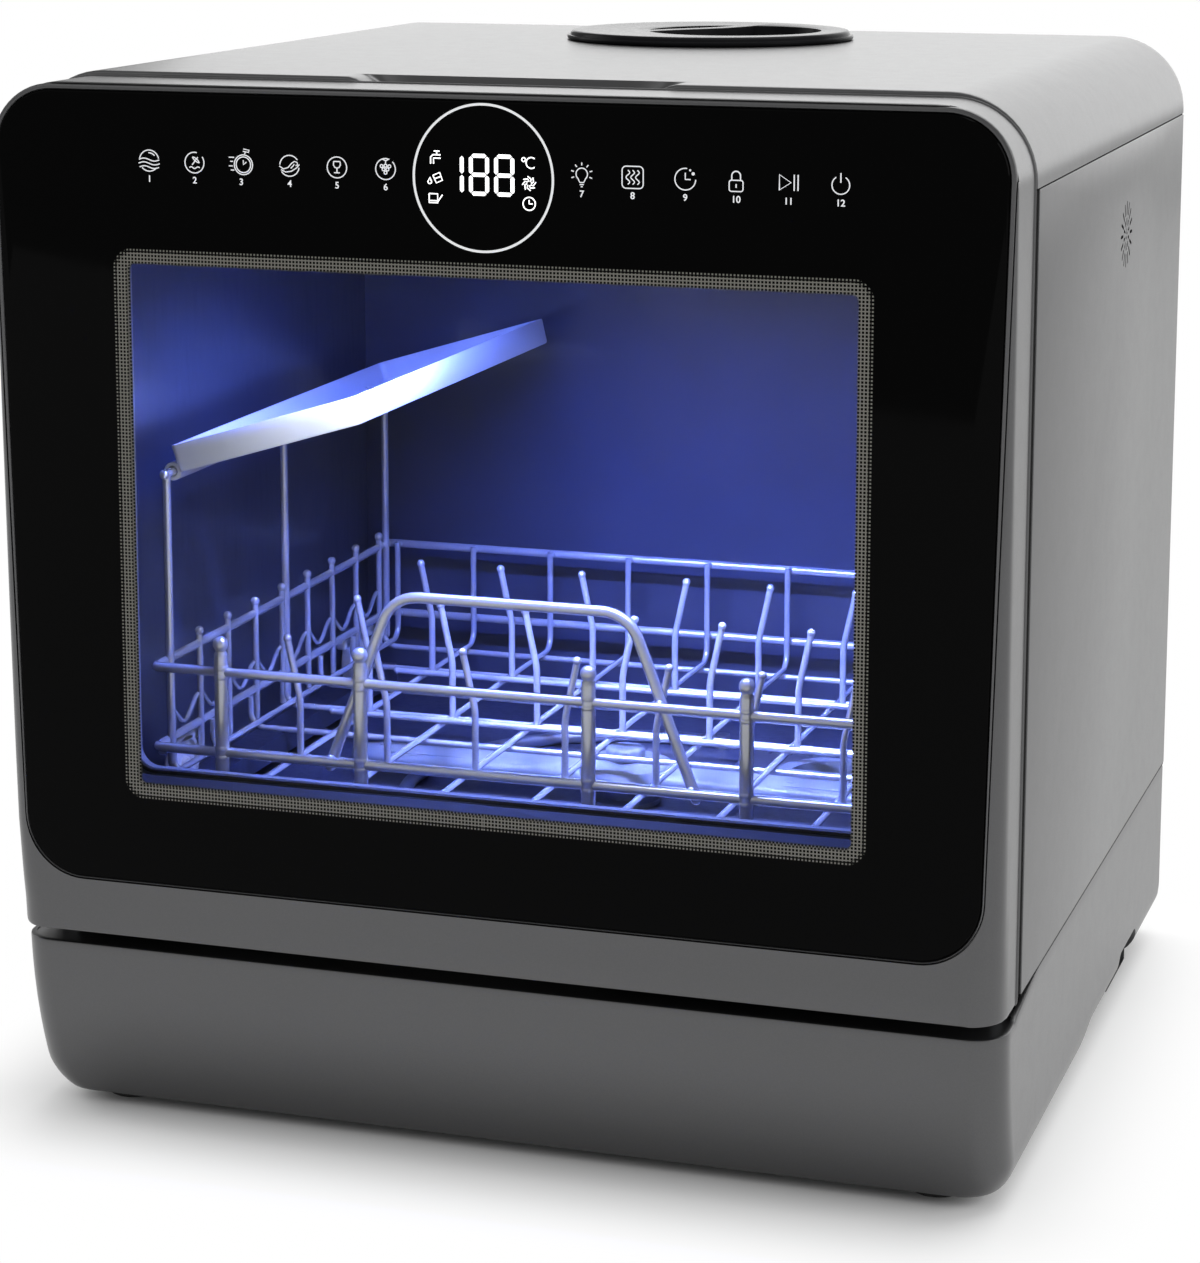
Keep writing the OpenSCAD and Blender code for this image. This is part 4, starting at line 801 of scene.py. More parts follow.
MARK_Y = FRONT_Y + 0.09
MARK_FLAT, STROKE, DISPLAY_STROKE = 0.12, 0.25, 0.26
# The key marks and numbers are prints given a glow: painted light.
GLOWING_KEY_PRINT = glow("key_print_glow", (0.80, 0.82, 0.86), 0.62, grey(0.55))
# The ring round the display is a print given a glow: painted light.
GLOWING_RING_PRINT = glow("ring_print_glow", (0.80, 0.82, 0.84), 0.55, grey(0.55), 0.05)
LIT_WHITE = glow("lit_digits", (1.0, 1.0, 1.0), 1.5, grey(0.8), 0.03)


def wave(x0, x1, w, height, turns, steps=18):
    """A wavy line across, its phase starting at zero."""
    return [(x0 + (x1 - x0) * k / steps, w + height * math.sin(2 * math.pi * turns * k / steps))
            for k in range(steps + 1)]


def ripple(x, w0, w1, width, turns=1.0, steps=12):
    """A wavy line upwards."""
    return [(x + width * math.sin(2 * math.pi * turns * k / steps), w0 + (w1 - w0) * k / steps)
            for k in range(steps + 1)]


def box_line(half, w0, w1, r):
    """Closed outline of a rounded box."""
    return rounded(-half, half, w0, w1, r, r, 5) + [(half - r, w0)]


def leaf(centre, size, lean):
    """Two bows that meet at both tips."""
    points = arc((size * 0.87, 0), size, 150, 210, 8) + arc((-size * 0.86, 0), size, -30, 30, 8)
    return leaned(points, centre, lean)


def grape(x, w):
    """One small circle."""
    return arc((x, w), 0.62, 0, 360, 8)


def spokes(count, first, pitch, height, *ends):
    """Strokes that run outwards round a centre: each of their points is a radius and a further turn."""
    turns = [math.radians(first + pitch * k) for k in range(count)]
    return [[(r * math.cos(a + on), height + r * math.sin(a + on)) for r, on in ends] for a in turns]


# The touch keys: each key's place across the glass and its strokes round that place
KEYS = [
    # waves in a circle
    (-139.3, [arc((0, 0.2), 4.2, 12, 168), arc((0, 0.2), 4.2, 222, 318, 10), arc((0, 0.2), 3.1, 40, 95, 8),
              wave(-4.4, 4.4, 0.6, 0.55, 1.0), wave(-4.6, 4.6, -0.9, 0.55, 1.0),
              wave(-4.2, 4.2, -2.4, 0.5, 1.0)]),
    # leaf in a circle
    (-119.7, [arc((0, 0), 4.1, 75, 395, 26), leaf((0.6, 1.1), 3.6, 0.9), [(-1.0, -0.9), (1.5, 2.2)],
              wave(-2.2, 2.2, -2.0, 0.35, 1.5)]),
    # stopwatch with lines of speed
    (-99.7, [arc((1.0, -0.2), 3.9, 0, 360, 26), arc((1.0, -0.2), 3.1, 0, 360, 24), [(1.6, 4.0), (2.0, 5.0)],
             [(1.0, 1.6), (1.0, -0.2), (2.3, 0.9)], [(0.9, 5.1), (3.3, 4.7), (3.5, 5.6), (1.1, 6.0)],
             [(-5.2, 2.6), (-2.9, 2.6)], [(-4.6, 1.0), (-3.4, 1.0)], [(-5.2, -0.8), (-3.5, -0.8)],
             [(-4.4, -2.4), (-2.9, -2.4)]]),
    # open hand in a circle
    (-79.1, [arc((0, 0), 4.1, 35, 175, 16), arc((0, 0), 4.1, 215, 350, 14),
             [(-4.3, -0.2), (-2.6, -1.3), (-0.6, -0.7), (0.9, 1.0), (2.1, 1.8), (3.3, 1.4), (3.4, 0.4),
              (2.6, 0.2)], [(0.5, -1.0), (1.6, 0.0), (2.0, 0.7)],
             [(-3.6, -1.6), (-1.6, -2.5), (0.8, -2.1), (2.9, -0.8), (4.2, 0.6)]]),
    # stemmed glass in a circle
    (-59.1, [arc((0, 0), 4.1, 0, 360, 28), [(-1.35, 2.3), (1.35, 2.3)], [(0, -0.3), (0, -2.1)],
             [(-1.35, 2.3), (-1.45, 0.9), (-0.9, 0.0), (0, -0.3), (0.9, 0.0), (1.45, 0.9), (1.35, 2.3)],
             [(-1.2, -2.1), (1.2, -2.1)]]),
    # bunch of grapes in a circle
    (-38.8, [arc((0, 0), 4.1, 75, 405, 28), [(0, 2.0), (0.1, 3.2), (1.6, 4.0)], [(0.1, 3.2), (-1.4, 3.9)]]
     + [grape(x, w) for x, w in ((-1.6, 1.1), (0, 1.3), (1.6, 1.1), (-0.8, -0.1), (0.8, -0.1), (0, -1.4))]),
    # lamp with rays
    (41.3, [arc((0, 0.6), 2.3, -50, 230, 20) + [(-0.8, -2.6), (0.8, -2.6), (1.5, -1.2)],
            [(-0.8, -3.4), (0.8, -3.4)], [(-0.4, -4.2), (0.4, -4.2)]]
     + spokes(7, -20, 36.7, 0.6, (3.3, 0), (4.4, 0))),
    # warm air in a box
    (61.6, [box_line(4.2, -4.2, 4.2, 1.6)] + [ripple(x, -2.7, 2.7, 0.75, 1.5) for x in (-1.9, 0.0, 1.9)]),
    # clock with dots at its gap
    (82.4, [arc((0, 0), 4.1, 80, 358, 24), [(0, 2.4), (0, -0.1), (2.1, -0.1)],
            arc((3.1, 2.1), 0.45, 0, 360, 8), arc((1.9, 3.4), 0.25, 0, 360, 6),
            arc((3.1, 2.1), 0.15, 0, 360, 6)]),
    # padlock
    (102.3, [box_line(2.7, -4.0, 0.2, 0.9), [(0, -1.2), (0, -2.6)],
             [(-1.7, 0.2), (-1.7, 1.9)] + arc((0, 1.9), 1.7, 180, 0, 12) + [(1.7, 0.2)]]),
    # start and pause
    (122.7, [[(-3.6, -2.9), (-3.6, 2.9), (0.9, 0), (-3.6, -2.9), (-3.6, -2.2)], [(2.1, 3.0), (2.1, -3.0)],
             [(3.6, 3.0), (3.6, -3.0)]]),
    # power
    (142.7, [arc((0, -0.3), 3.4, 122, 418, 26), [(0, 4.2), (0, 0.6)]]),
]
KEY_Z, NUMBER_Z, NUMBER_SIZE = 407.3, 400.2, 3.645


def pressed(piece, thick):
    """Presses round strokes flat onto the face of the glass."""
    for vertex in piece.data.vertices:
        vertex.co.y = MARK_Y * MM + vertex.co.y * (MARK_FLAT / 2 / thick)
    return piece


def strokes(name, x, z, lines, material, thick=STROKE):
    """Strokes round a place on the glass."""
    piece = wire(name, [[(x + u, 0, z + w) for u, w in line] for line in lines], thick, sides=1)
    finish(pressed(piece, thick), "lamp", "door", material=material, angle=None)


def make_keys():
    """One mark for each touch key, with a plain number under it, both printed and made to glow as painted
    light.
    """
    for number, (x, lines) in enumerate(KEYS, 1):
        strokes(f"key_mark_{number}", x, KEY_Z, lines, GLOWING_KEY_PRINT)
        bpy.ops.object.text_add()
        label = bpy.context.object
        label.data.body = str(number)
        label.data.size = NUMBER_SIZE * MM
        label.data.align_x, label.data.align_y = "CENTER", "CENTER"
        label.data.extrude = 0.03 * MM
        label.data.offset = 0.06 * MM
        alone(label)
        bpy.ops.object.convert(target="MESH")
        label = made(f"key_number_{number}")
        label.rotation_euler = (math.pi / 2, 0, 0)
        label.location = (x * MM, MARK_Y * MM, NUMBER_Z * MM)
        finish(settle(label), "lamp", "door", material=GLOWING_KEY_PRINT, angle=None)


# The figures: where the one and the two eights stand, and the width and gap of their bars
ONE_X, EIGHTS_X = -7.3, (-3.6, 6.7)
DIGIT_Z, DIGIT_H, BAR_LENGTH, SEGMENT, SEGMENT_GAP = 406.3, 14.6, 6.65, 1.55, 0.28


def segment(x0, z0, x1, z1):
    """One bar of a digit, its ends cut to points."""
    along = Vector((x1 - x0, z1 - z0)).normalized()
    out = Vector((-along.y, along.x)) * SEGMENT / 2
    start = Vector((x0, z0)) + along * SEGMENT_GAP
    end = Vector((x1, z1)) - along * SEGMENT_GAP
    tip = along * SEGMENT / 2
    points = [start, start + tip - out, end - tip - out, end, end - tip + out, start + tip + out]
    return loft("segment", [in_xz(points, MARK_Y + side * MARK_FLAT / 2) for side in (-1, 1)])


def make_digits():
    """The figures of the display: a one and two eights, all bars lit."""
    top, mid, low = DIGIT_Z + DIGIT_H / 2, DIGIT_Z, DIGIT_Z - DIGIT_H / 2
    halves = ((low, mid), (mid, top))
    bars = []
    for x0 in EIGHTS_X:
        x1 = x0 + BAR_LENGTH
        bars += [segment(x0, z, x1, z) for z in (top, mid, low)]
        bars += [segment(x, a, x, b) for x in (x0, x1) for a, b in halves]
    bars += [segment(ONE_X, a, ONE_X, b) for a, b in halves]
    finish(joined("display_digits", bars), "lamp", "door", material=LIT_WHITE, angle=None)


# The small lit marks beside the figures: place across, height, strokes
SMALL_MARKS = [
    # tap
    (-18.2, 412.2, [[(-1.9, -2.2), (-1.9, 0.4), (-0.9, 1.3), (2.2, 1.3)],
                    [(-0.7, -2.2), (-0.7, 0.0), (2.2, 0.0)], [(0.6, 1.5), (0.6, 2.4)],
                    [(-0.6, 2.7), (1.8, 2.7)]]),
    # tilted vessel and a drop
    (-18.2, 404.3, [[(-1.0, 1.2), (1.8, 2.4), (2.9, -0.6), (0.4, -1.7), (-1.0, 1.2)],
                    [(-0.3, -0.1), (2.3, 0.9)],
                    arc((-2.3, -1.3), 0.75, -220, 40, 10) + [(-2.2, 0.4), (-2.9, -0.9)]]),
    # upright vessel with a handle
    (-18.2, 396.6, [[(-2.6, 1.8), (-2.6, -1.7), (0.9, -1.7), (0.9, 1.8), (-2.6, 1.8)],
                    [(0.9, -1.3), (2.9, 1.5)], [(-2.6, -0.9), (0.9, -0.9)]]),
    # degrees
    (20.1, 411.5, [arc((-2.2, 1.2), 0.75, 0, 360, 12), arc((0.9, 0), 2.1, 50, 310, 16)]),
    # fan swirl
    (20.1, 403.6, spokes(8, 0, 45, 0, (0.8, 0), (1.9, 0.35), (2.8, 1.0))),
    # clock
    (20.1, 395.8, [arc((0, 0), 2.5, 0, 360, 24), [(0, 1.5), (0, 0), (1.4, 0)]]),
]
RING_X, RING_Z, RING_R, RING_STROKE = 1.3, 405.0, 28.4, 0.55


def make_display():
    """The small lit marks, and the printed ring round the display, which is made to glow as painted light."""
    for number, (x, z, lines) in enumerate(SMALL_MARKS, 1):
        strokes(f"display_mark_{number}", x, z, lines, LIT_WHITE, DISPLAY_STROKE)
    circle = in_xz(ring((RING_X, RING_Z), RING_R, 144), 0)
    circle = wire("display_ring", [circle], RING_STROKE, sides=1, closed=True)
    finish(pressed(circle, RING_STROKE), "lamp", "door", material=GLOWING_RING_PRINT, angle=None)


make_keys()
make_digits()
make_display()


# ---------------------------------------------------------------- casing

CASE_Y, REAR_Y = -165.0, 200.0
BASE_H, BODY_H, PANEL_T = 86.0, 440.0, 2.0
SIDE_TOP_Z, SIDE_FRONT_Y, TOP_R = 404.0, -159.8, 34.0
SEAM = 0.35  # half the gap between two sheets
CAP_Y, COLLAR_R = 117.0, 58.3
VENT_Y, VENT_Z = 43.0, 364.0
# The finger scoop: its depth, the ends of its flat and of its slope, its rear edge and the wall there
SCOOP_DEPTH, SCOOP_FLAT, SCOOP_END, SCOOP_BACK, SCOOP_WALL = 11.0, 44.0, 69.0, -150.0, 2.4
# Where the cover has points: across one half, and from front to rear
COVER_ACROSS = (176, 140, 110, 85, 72, 68, 65, 62, 59, 56, 53, 50, 47, 44, 41, 38, 34, 28, 18, 9)
COVER_ALONG = (-164.15, -163.9, -160, -155, -152.4, -151.8, -151.2, -150.8, -150.5, -150.25, -150.1, -150,
               -148, -140, -110, -60, 0, 60, 120, 170, 194)


def ease(value, low, high):
    """0 at low, 1 at high, smooth between."""
    t = min(1.0, max(0.0, (value - low) / (high - low)))
    return t * t * (3 - 2 * t)


def scoop(x, y):
    """How far the finger scoop draws the cover down at a point."""
    up = min(1.0, max(0.0, (y - SCOOP_BACK + SCOOP_WALL) / SCOOP_WALL))
    return SCOOP_DEPTH * (1 - ease(abs(x), SCOOP_FLAT, SCOOP_END)) * (1 - up ** 2)


def make_top_cover():
    """Shell over the top, its long edges round, drawn down into a finger scoop at the front."""
    flat = [*COVER_ACROSS, 0, *(-x for x in reversed(COVER_ACROSS))]
    steps = 14
    centre = (SIDE_X - TOP_R, BODY_H - TOP_R)
    low = SIDE_TOP_Z + SEAM

    def crown(y):
        return 0.5 * (1 - min(1.0, (y - CASE_Y) / 1.1)) ** 2

    def profile(y, roll):
        rows = []
        for shrink in (roll, PANEL_T):
            bend = [(x, z - crown(y) * (k / steps) ** 2)
                    for k, (x, z) in enumerate(arc(centre, TOP_R - shrink, 0, 90, steps))]
            right = [(SIDE_X - shrink, low)] + bend[:-1]
            middle = [(x, BODY_H - shrink - crown(y) - scoop(x, y)) for x in flat]
            rows.append(right + middle + mirrored(right))
        return in_xz(rows[0] + rows[1][::-1], y)

    stations = [(CASE_Y, 0.6), (CASE_Y + 0.1, 0.35), (CASE_Y + 0.3, 0.12), (CASE_Y + 0.6, 0)]
    stations += [(y, 0) for y in COVER_ALONG]
    stations += [(REAR_Y - 1.0, 0), (REAR_Y - 0.4, 0.15), (REAR_Y - 0.1, 0.5), (REAR_Y, 0.9)]
    cover = loft("top_shell", [profile(y, roll) for y, roll in stations])
    mouth = drum("mouth", (0, CAP_Y, BODY_H - 10), COLLAR_R, 20, sides=96)
    finish(cut(cover, mouth), "casing_paint", "casing", ["top_cover"], angle=40)


def slot_tool(inner, outer, width, angle, taper=1.0):
    """A slot that points at the middle of the vent, its ends round."""
    r0, r1 = width / 2 * taper, width / 2
    ends = arc((outer - r1, 0), r1, -80, 80, 4) + arc((inner + r0, 0), r0, 100, 260, 4)
    plan = leaned(ends, (VENT_Y, VENT_Z), math.radians(angle))
    return loft("slot", [in_yz(plan, x) for x in (SIDE_X - 4, SIDE_X + 1)])


def across(side, a, b):
    """Two distances from the middle, put on one side of it, the lower place first."""
    return sorted((side * a, side * b))


def make_side_sheet(side):
    """Flat sheet with a fine edge; the right one has a round vent of three rings of slots."""
    hand = "right" if side > 0 else "left"
    x0, x1 = across(side, SIDE_X, SIDE_X - PANEL_T)
    sheet = block(hand + "_sheet", (x0, SIDE_FRONT_Y, BASE_H + SEAM), (x1, REAR_Y, SIDE_TOP_Z - SEAM))
    soften(sheet, 0.35, 3)
    if side > 0:
        slots = [slot_tool(8.4, 14.6, 1.45, 22.5 * k) for k in range(16)]
        slots += [slot_tool(3.9, 7.3, 1.7, 36 * k + 18, 0.55) for k in range(10)]
        slots += [slot_tool(0.9, 2.7, 1.1, 72 * k + 9, 0.6) for k in range(5)]
        cut(sheet, joined("slots", slots))
    finish(sheet, "casing_paint", "casing", ["side_panel_" + hand], angle=30)


BASE_BOTTOM, DECK_Z, BASE_WALL = 5.0, 78.0, 2.4
# The base's front is part of a drum of radius LEAN_R; its other radii lie in section, in plan and at the heel
LEAN_R, LEAN_Y = 175.0, -20.0
FOOT_R, PLAN_R, REAR_R, HEEL_R = 21.0, 15.0, 3.0, 15.0
# The base's upper edge climbs behind the door's plane; its lower edge climbs to the grips
CLIMB_Y, CLIMB_RUN = -172.5, 10.5
LIFT, LIFT_Y0, LIFT_Y1 = 6.5, -10.0, 16.0
GRIP_Y0, GRIP_Y1, GRIP_TOP = 80.0, 128.0, 25.0
BASE_LEVELS = (BASE_BOTTOM, 5.6, 7, 9, 12, 15, 18, 21, 24, 30, 38, 48, 58, 66, 71, 74, 77.2, 77.7, DECK_Z)
# Places along a side of the base: shares of the way from its corner, then distances
BASE_CORNER = [(y + 175) / 55 for y in (-173.4, -172, -170.5, -169, -167.5, -166, -165, -163)]
BASE_ALONG = (-120, -60, -10, -5, 0, 5, 11, 17, 24, 70, 140, 176, 181, 185, 189, 192, 194.5, 196.2)


def base_front(z):
    """Where the base's front is at a height."""
    return LEAN_Y - math.sqrt(LEAN_R ** 2 - (BASE_H - z) ** 2)


def base_side(z):
    """Where the base's right side is at a height."""
    return SIDE_X - rolled(z, FOOT_R)


def base_corner(z, shrink):
    """Plan of the base's right front corner at a height, and the place where it meets the side."""
    front, side, bend = base_front(z) + shrink, base_side(z) - shrink, PLAN_R - shrink
    return arc((side - bend, front + bend), bend, -90, 0, 10), side, front + bend


def base_ring(z, shrink):
    """Plan of the base at a height; its upper edge climbs beside the door and its lower edge at the grips."""
    half, side, corner_y = base_corner(z, shrink)
    half += [(side, corner_y + share * (BASE_ALONG[0] - corner_y)) for share in BASE_CORNER]
    half += [(side, y) for y in BASE_ALONG]
    half += arc((side - REAR_R, REAR_Y - shrink - REAR_R), REAR_R, 0, 90, 4)
    above = z - BASE_BOTTOM
    points = []
    for x, y in half + mirrored(half):
        behind = min(1.0, max(0.0, (y - REAR_Y + HEEL_R) / HEEL_R))
        lower = max(LIFT * ease(y, LIFT_Y0, LIFT_Y1) * max(0.0, 1 - above / 22),
                    HEEL_R * (1 - math.sqrt(1 - behind ** 2)) * max(0.0, 1 - above / 60))
        climb = min(1.0, max(0.0, (y - CLIMB_Y) / CLIMB_RUN))
        upper = (BASE_H - SEAM - DECK_Z) * climb ** 2.6 * max(0.0, (z - 58) / 20)
        points.append((x, y, z + lower + upper))
    return points


def make_base():
    """Skirt that leans back at the front, with a deck under the door."""
    outer = [base_ring(z, rolled(DECK_Z - z, 0.8) + rolled(z - BASE_BOTTOM, 1.0)) for z in BASE_LEVELS]
    inner = [base_ring(z, BASE_WALL) for z in (DECK_Z, 60, 24, 15, 9, BASE_BOTTOM)]
    skirt = loft("skirt", outer + inner, loop=True)
    plans = []
    for z in (DECK_Z - 0.35, DECK_Z - 2.4):
        half, side, _ = base_corner(z, BASE_WALL - 0.4)
        half.append((side, -162.0))
        plans.append(in_xy(half + mirrored(half), z))
    deck = loft("deck", plans)
    mouth = rounded(GRIP_Y0, GRIP_Y1, 0, GRIP_TOP, 0.5, 6.5, 8)
    cut(skirt, *[loft("grip", [in_yz(mouth, x) for x in (side * 185, side * 215)]) for side in (-1, 1)])
    finish(joined("base_skirt", [skirt, deck]), "casing_paint", "casing", ["base_housing"], angle=35)


def make_grip_cup(side):
    """Pocket behind a grip opening."""
    foot = BASE_BOTTOM + 2.6
    mouth = rounded(GRIP_Y0 - 0.4, GRIP_Y1 + 0.4, foot, GRIP_TOP + 0.4, 0.5, 6.8, 8)
    deep = rounded(GRIP_Y0 + 2, GRIP_Y1 - 2, foot, GRIP_TOP - 1, 0.5, 6.0, 8)
    outer = rounded(GRIP_Y0 - 1.4, GRIP_Y1 + 1.4, foot - 0.1, GRIP_TOP + 1.4, 0.6, 7.6, 8)
    rings = [in_yz(plan, side * x) for plan, x in ((outer, 190), (outer, 204.5), (mouth, 204.5), (deep, 192))]
    finish(loft("grip_cup_right" if side > 0 else "grip_cup_left", rings), "black_plastic", "casing")


def make_seam_gaskets():
    """Near-black strips in the seams of the side sheets and at their front edges, and a near-black sill under
    the back panel: painted shade for these gaps.
    """
    seams = ((BASE_H, 80.0, 92.0, 0.15), (SIDE_TOP_Z, 398.5, 408.0, 0.45))
    strips = [block("sill", (-205.5, 190.5, 81.6), (205.5, REAR_Y - 0.8, 83.4))]
    for side in (-1, 1):
        for seam_z, low, high, recess in seams:
            for reach, z0, z1 in ((207.5, low, high), (SIDE_X - recess, seam_z - SEAM, seam_z + SEAM)):
                x0, x1 = across(side, 206.3, reach)
                strips.append(block("strip", (x0, SIDE_FRONT_Y + 0.2, z0), (x1, REAR_Y - 1.2, z1)))
        x0, x1 = across(side, 208.05, SIDE_X - 0.6)
        strips.append(block("front_strip", (x0, CASE_Y + 0.2, BASE_H + 1),
                            (x1, SIDE_FRONT_Y - 0.05, SIDE_TOP_Z - 0.5)))
    # The strips and sill are finished near-black as painted shade in the seams.
    finish(joined("seam_shade_strips", strips), "rubber", "casing", material=MATERIALS["painted_gap_shade"], angle=40)


FOOT_PLACES = [(x, y) for x in (-177, 177) for y in (-154, 182)]


def make_feet():
    """Rubber feet, each with a shallow dish below."""
    shape = [(0.5, 0.9), (8.6, 0.7), (9.6, 0.0), (11.2, 0.0), (11.9, 0.7), (12.0, 2.4), (11.3, 5.2),
             (5.0, 5.4)]
    feet = [turned("foot", shape, place, 40) for place in FOOT_PLACES]
    finish(joined("rubber_feet", feet), "rubber", "casing", ["feet"], angle=35)


def make_base_plate():
    """Bottom plate with a turned-up rim and a row of cooling slots."""
    plan = (-188.0, 188.0, -167.0, 186.0, 14.0, 14.0)
    shape = ((0.6, 5.1), (0, 5.5), (0, 9.0), (1.6, 9.0), (1.6, 7.5), (2.2, 7.3))
    plate = loft("plate", [in_xy(inset(plan, by, 6), z) for by, z in shape])
    slots = [loft("slot", [in_xy(rounded(x - 2, x + 2, -70, 20, 1.9, 1.9, 4), z) for z in (2, 12)])
             for x in range(-60, 61, 12)]
    finish(cut(plate, joined("slots", slots)), "black_plastic", "casing", ["base_plate"], angle=40)


make_top_cover()
for side in (-1, 1):
    make_side_sheet(side)
    make_grip_cup(side)
make_base()
make_feet()
make_base_plate()
make_seam_gaskets()


# ---------------------------------------------------------------- fill cap

CAP_R, CAP_Z0, CAP_Z1, PLUG_R, PLUG_Z = 67.0, 440.2, 444.4, 53.0, 426.0
HOLLOW_X, HOLLOW_R, HOLLOW_FLOOR = 12.0, 40.5, 429.0
LUG_ARC, LUG_Z0, LUG_Z1 = 24, 429.5, 433.5
# Middle line of the bridge over the hollow, in plan round the cap's axis, and half its width
BRIDGE, BRIDGE_HALF = [(-36, -26), (-27, -14), (-19, -1), (-10, 10), (-1, 22), (4, 34), (7, 46)], 4.3


def bridge_plan():
    """Outline of the bridge: its middle line, widened to both sides."""
    spine = [Vector(point) for point in BRIDGE]
    left, right = [], []
    for point, before, after in zip(spine, spine[:1] + spine, spine[1:] + spine[-1:]):
        along = (after - before).normalized()
        out = Vector((-along.y, along.x)) * BRIDGE_HALF
        left.append(point + out)
        right.append(point - out)
    return [(p.x, p.y + CAP_Y) for p in right + left[::-1]]


def make_cap():
    """Glossy cap with a stepped rim and one round hollow that a slanting bridge parts in two."""
    step = [(1.2, 0), (0.3, 0.35), (0, 1.0), (0, 1.5), (0.35, 2.0), (1.3, 2.2), (1.5, 2.5), (1.7, 3.2)]
    rim = [(49, PLUG_Z), (PLUG_R - 0.6, PLUG_Z), (PLUG_R, PLUG_Z + 0.6), (PLUG_R, CAP_Z0)]
    rim += [(CAP_R - back, CAP_Z0 + up) for back, up in step]
    rim += [(CAP_R - 2.6, CAP_Z1 - 0.15), (CAP_R - 4.0, CAP_Z1), (CAP_R - 9, CAP_Z1 - 0.15),
            (40, CAP_Z1 - 0.45)]
    cap = turned("cap", rim, (0, CAP_Y), 120)
    drawn = turned("drawn", [(HOLLOW_R - 4.5, HOLLOW_FLOOR), (HOLLOW_R - 2.2, HOLLOW_FLOOR + 0.7),
                             (HOLLOW_R - 0.9, HOLLOW_FLOOR + 3), (HOLLOW_R, CAP_Z1 + 2)], (HOLLOW_X, CAP_Y))
    cut(drawn, loft("bridge", [in_xy(bridge_plan(), z) for z in (HOLLOW_FLOOR - 5, CAP_Z1 + 6)]))
    cut(cap, drawn)
    soften(cap, 0.8, 3, 50)
    parts = [cap]
    for turn in (0, 120, 240):
        plan = arc((0, CAP_Y), PLUG_R - 0.6, turn, turn + LUG_ARC, 8)
        plan += arc((0, CAP_Y), PLUG_R + 2.6, turn + LUG_ARC, turn, 8)
        parts.append(soften(loft("lug", [in_xy(plan, z) for z in (LUG_Z0, LUG_Z1)]), 0.5))
    finish(joined("cap_cup", parts), "black_gloss", "cap", ["fill_cap", "cap_plug"], angle=38)


make_cap()


# ---------------------------------------------------------------- wash space

SEAL_X, SEAL_Z0, SEAL_Z1, SEAL_R = 176.0, 110.0, 398.0, 14.0
ARM_Y, ARM_Z0, ARM_Z1 = -12.0, 115.0, 123.2
NUT_Z = ARM_Z0 + 10.3


def make_seal():
    """Rubber ring with two lips round the mouth of the tub."""
    rings = frame_rings(SEAL_X, SEAL_Z0, SEAL_Z1, SEAL_R, SEAL_R, 10, (
        (0.1, -165.1), (0.0, -165.7), (0.3, -166.4), (1.0, -166.7), (1.9, -166.6), (2.6, -166.1),
        (3.5, -165.95), (4.4, -166.1), (5.1, -166.6), (6.0, -166.7), (6.7, -166.4), (7.0, -165.7),
        (6.9, -165.1)))
    finish(loft("mouth_seal", rings, loop=True), "rubber", "casing", ["tub_seal"], angle=60)


def blade_section(x, half, drop):
    """Section of a blade at a distance from the hub: a flattened oval, its crown lowered by drop."""
    top = ARM_Z1 - drop
    middle = (ARM_Z0 + top) / 2
    section = []
    for u, w in ring((0, 0), 1, 32):
        y = math.copysign(abs(u) ** 0.62, u)
        z = math.copysign(abs(w) ** 0.72, w) * (1 if w > 0 else 0.96)
        section.append((x, ARM_Y + half * y, middle + (top - middle) * z))
    return section


def make_spray_arm():
    """Two broad crowned blades from a domed hub, with raised nozzles along them."""
    rings = [blade_section(*row) for row in (
        (0, 14.0, 0), (26, 14.0, 0), (40, 14.0, 0.2), (60, 14.0, 0.5), (84, 13.8, 0.9), (104, 13.6, 1.3),
        (118, 12.6, 1.7), (125, 10.2, 2.1), (129.5, 6.8, 2.7), (131.4, 3.2, 3.6))]
    hub = [(8.2, 0), (20.5, 0), (21.8, 0.8), (22.0, 6), (21.0, 8.6), (18.6, 9.7), (13, 10), (8.2, 10)]
    arm = [loft("blade", rings),
           loft("blade", [[(-x, 2 * ARM_Y - y, z) for x, y, z in section] for section in rings]),
           turned("arm_hub", [(r, ARM_Z0 + z) for r, z in hub], (0, ARM_Y), 64)]
    nozzle = [(0.9, -1.4), (1.0, 0.3), (1.9, 0.55), (2.7, 0.2), (3.3, -1.2)]
    for side in (-1, 1):
        for k, x in enumerate((34, 56, 78, 100, 117)):
            top = ARM_Z1 - 0.15 - 0.012 * x
            place = (side * x, ARM_Y + side * (4.4 if k % 2 else -3.2))
            arm.append(turned("nozzle", [(r, top + z) for r, z in nozzle], place, 20))
        x0, x1 = across(side, 24, 112)
        for y in (ARM_Y - 9.6, ARM_Y + 9.6):
            arm.append(soften(block("rib", (x0, y - 0.5, ARM_Z0 + 3), (x1, y + 0.5, ARM_Z1 - 1.1)), 0.4, 2))
    finish(joined("spray_blades", arm), "grey_plastic", "spray", ["spray_arm"], angle=40)


def make_spray_nut():
    """Ribbed round nut on the hub."""
    sides, rib_depth = 72, 0.35
    shape = ((8.2, 0, 0), (8.8, 0.4, 1), (8.8, 4.4, 1), (8.3, 5.4, 0.5), (6.8, 5.95, 0), (2.0, 6.0, 0))
    rings = []
    for r, z, share in shape:
        radii = [r + rib_depth * share * math.cos(math.pi * k / 3) for k in range(sides)]
        plan = zip(radii, ring((0, 0), 1, sides))
        rings.append([(out * x, ARM_Y + out * y, NUT_Z + z) for out, (x, y) in plan])
    finish(loft("ribbed_nut", rings), "grey_plastic", "spray", ["spray_nut"], angle=50)


make_seal()
make_spray_arm()
make_spray_nut()


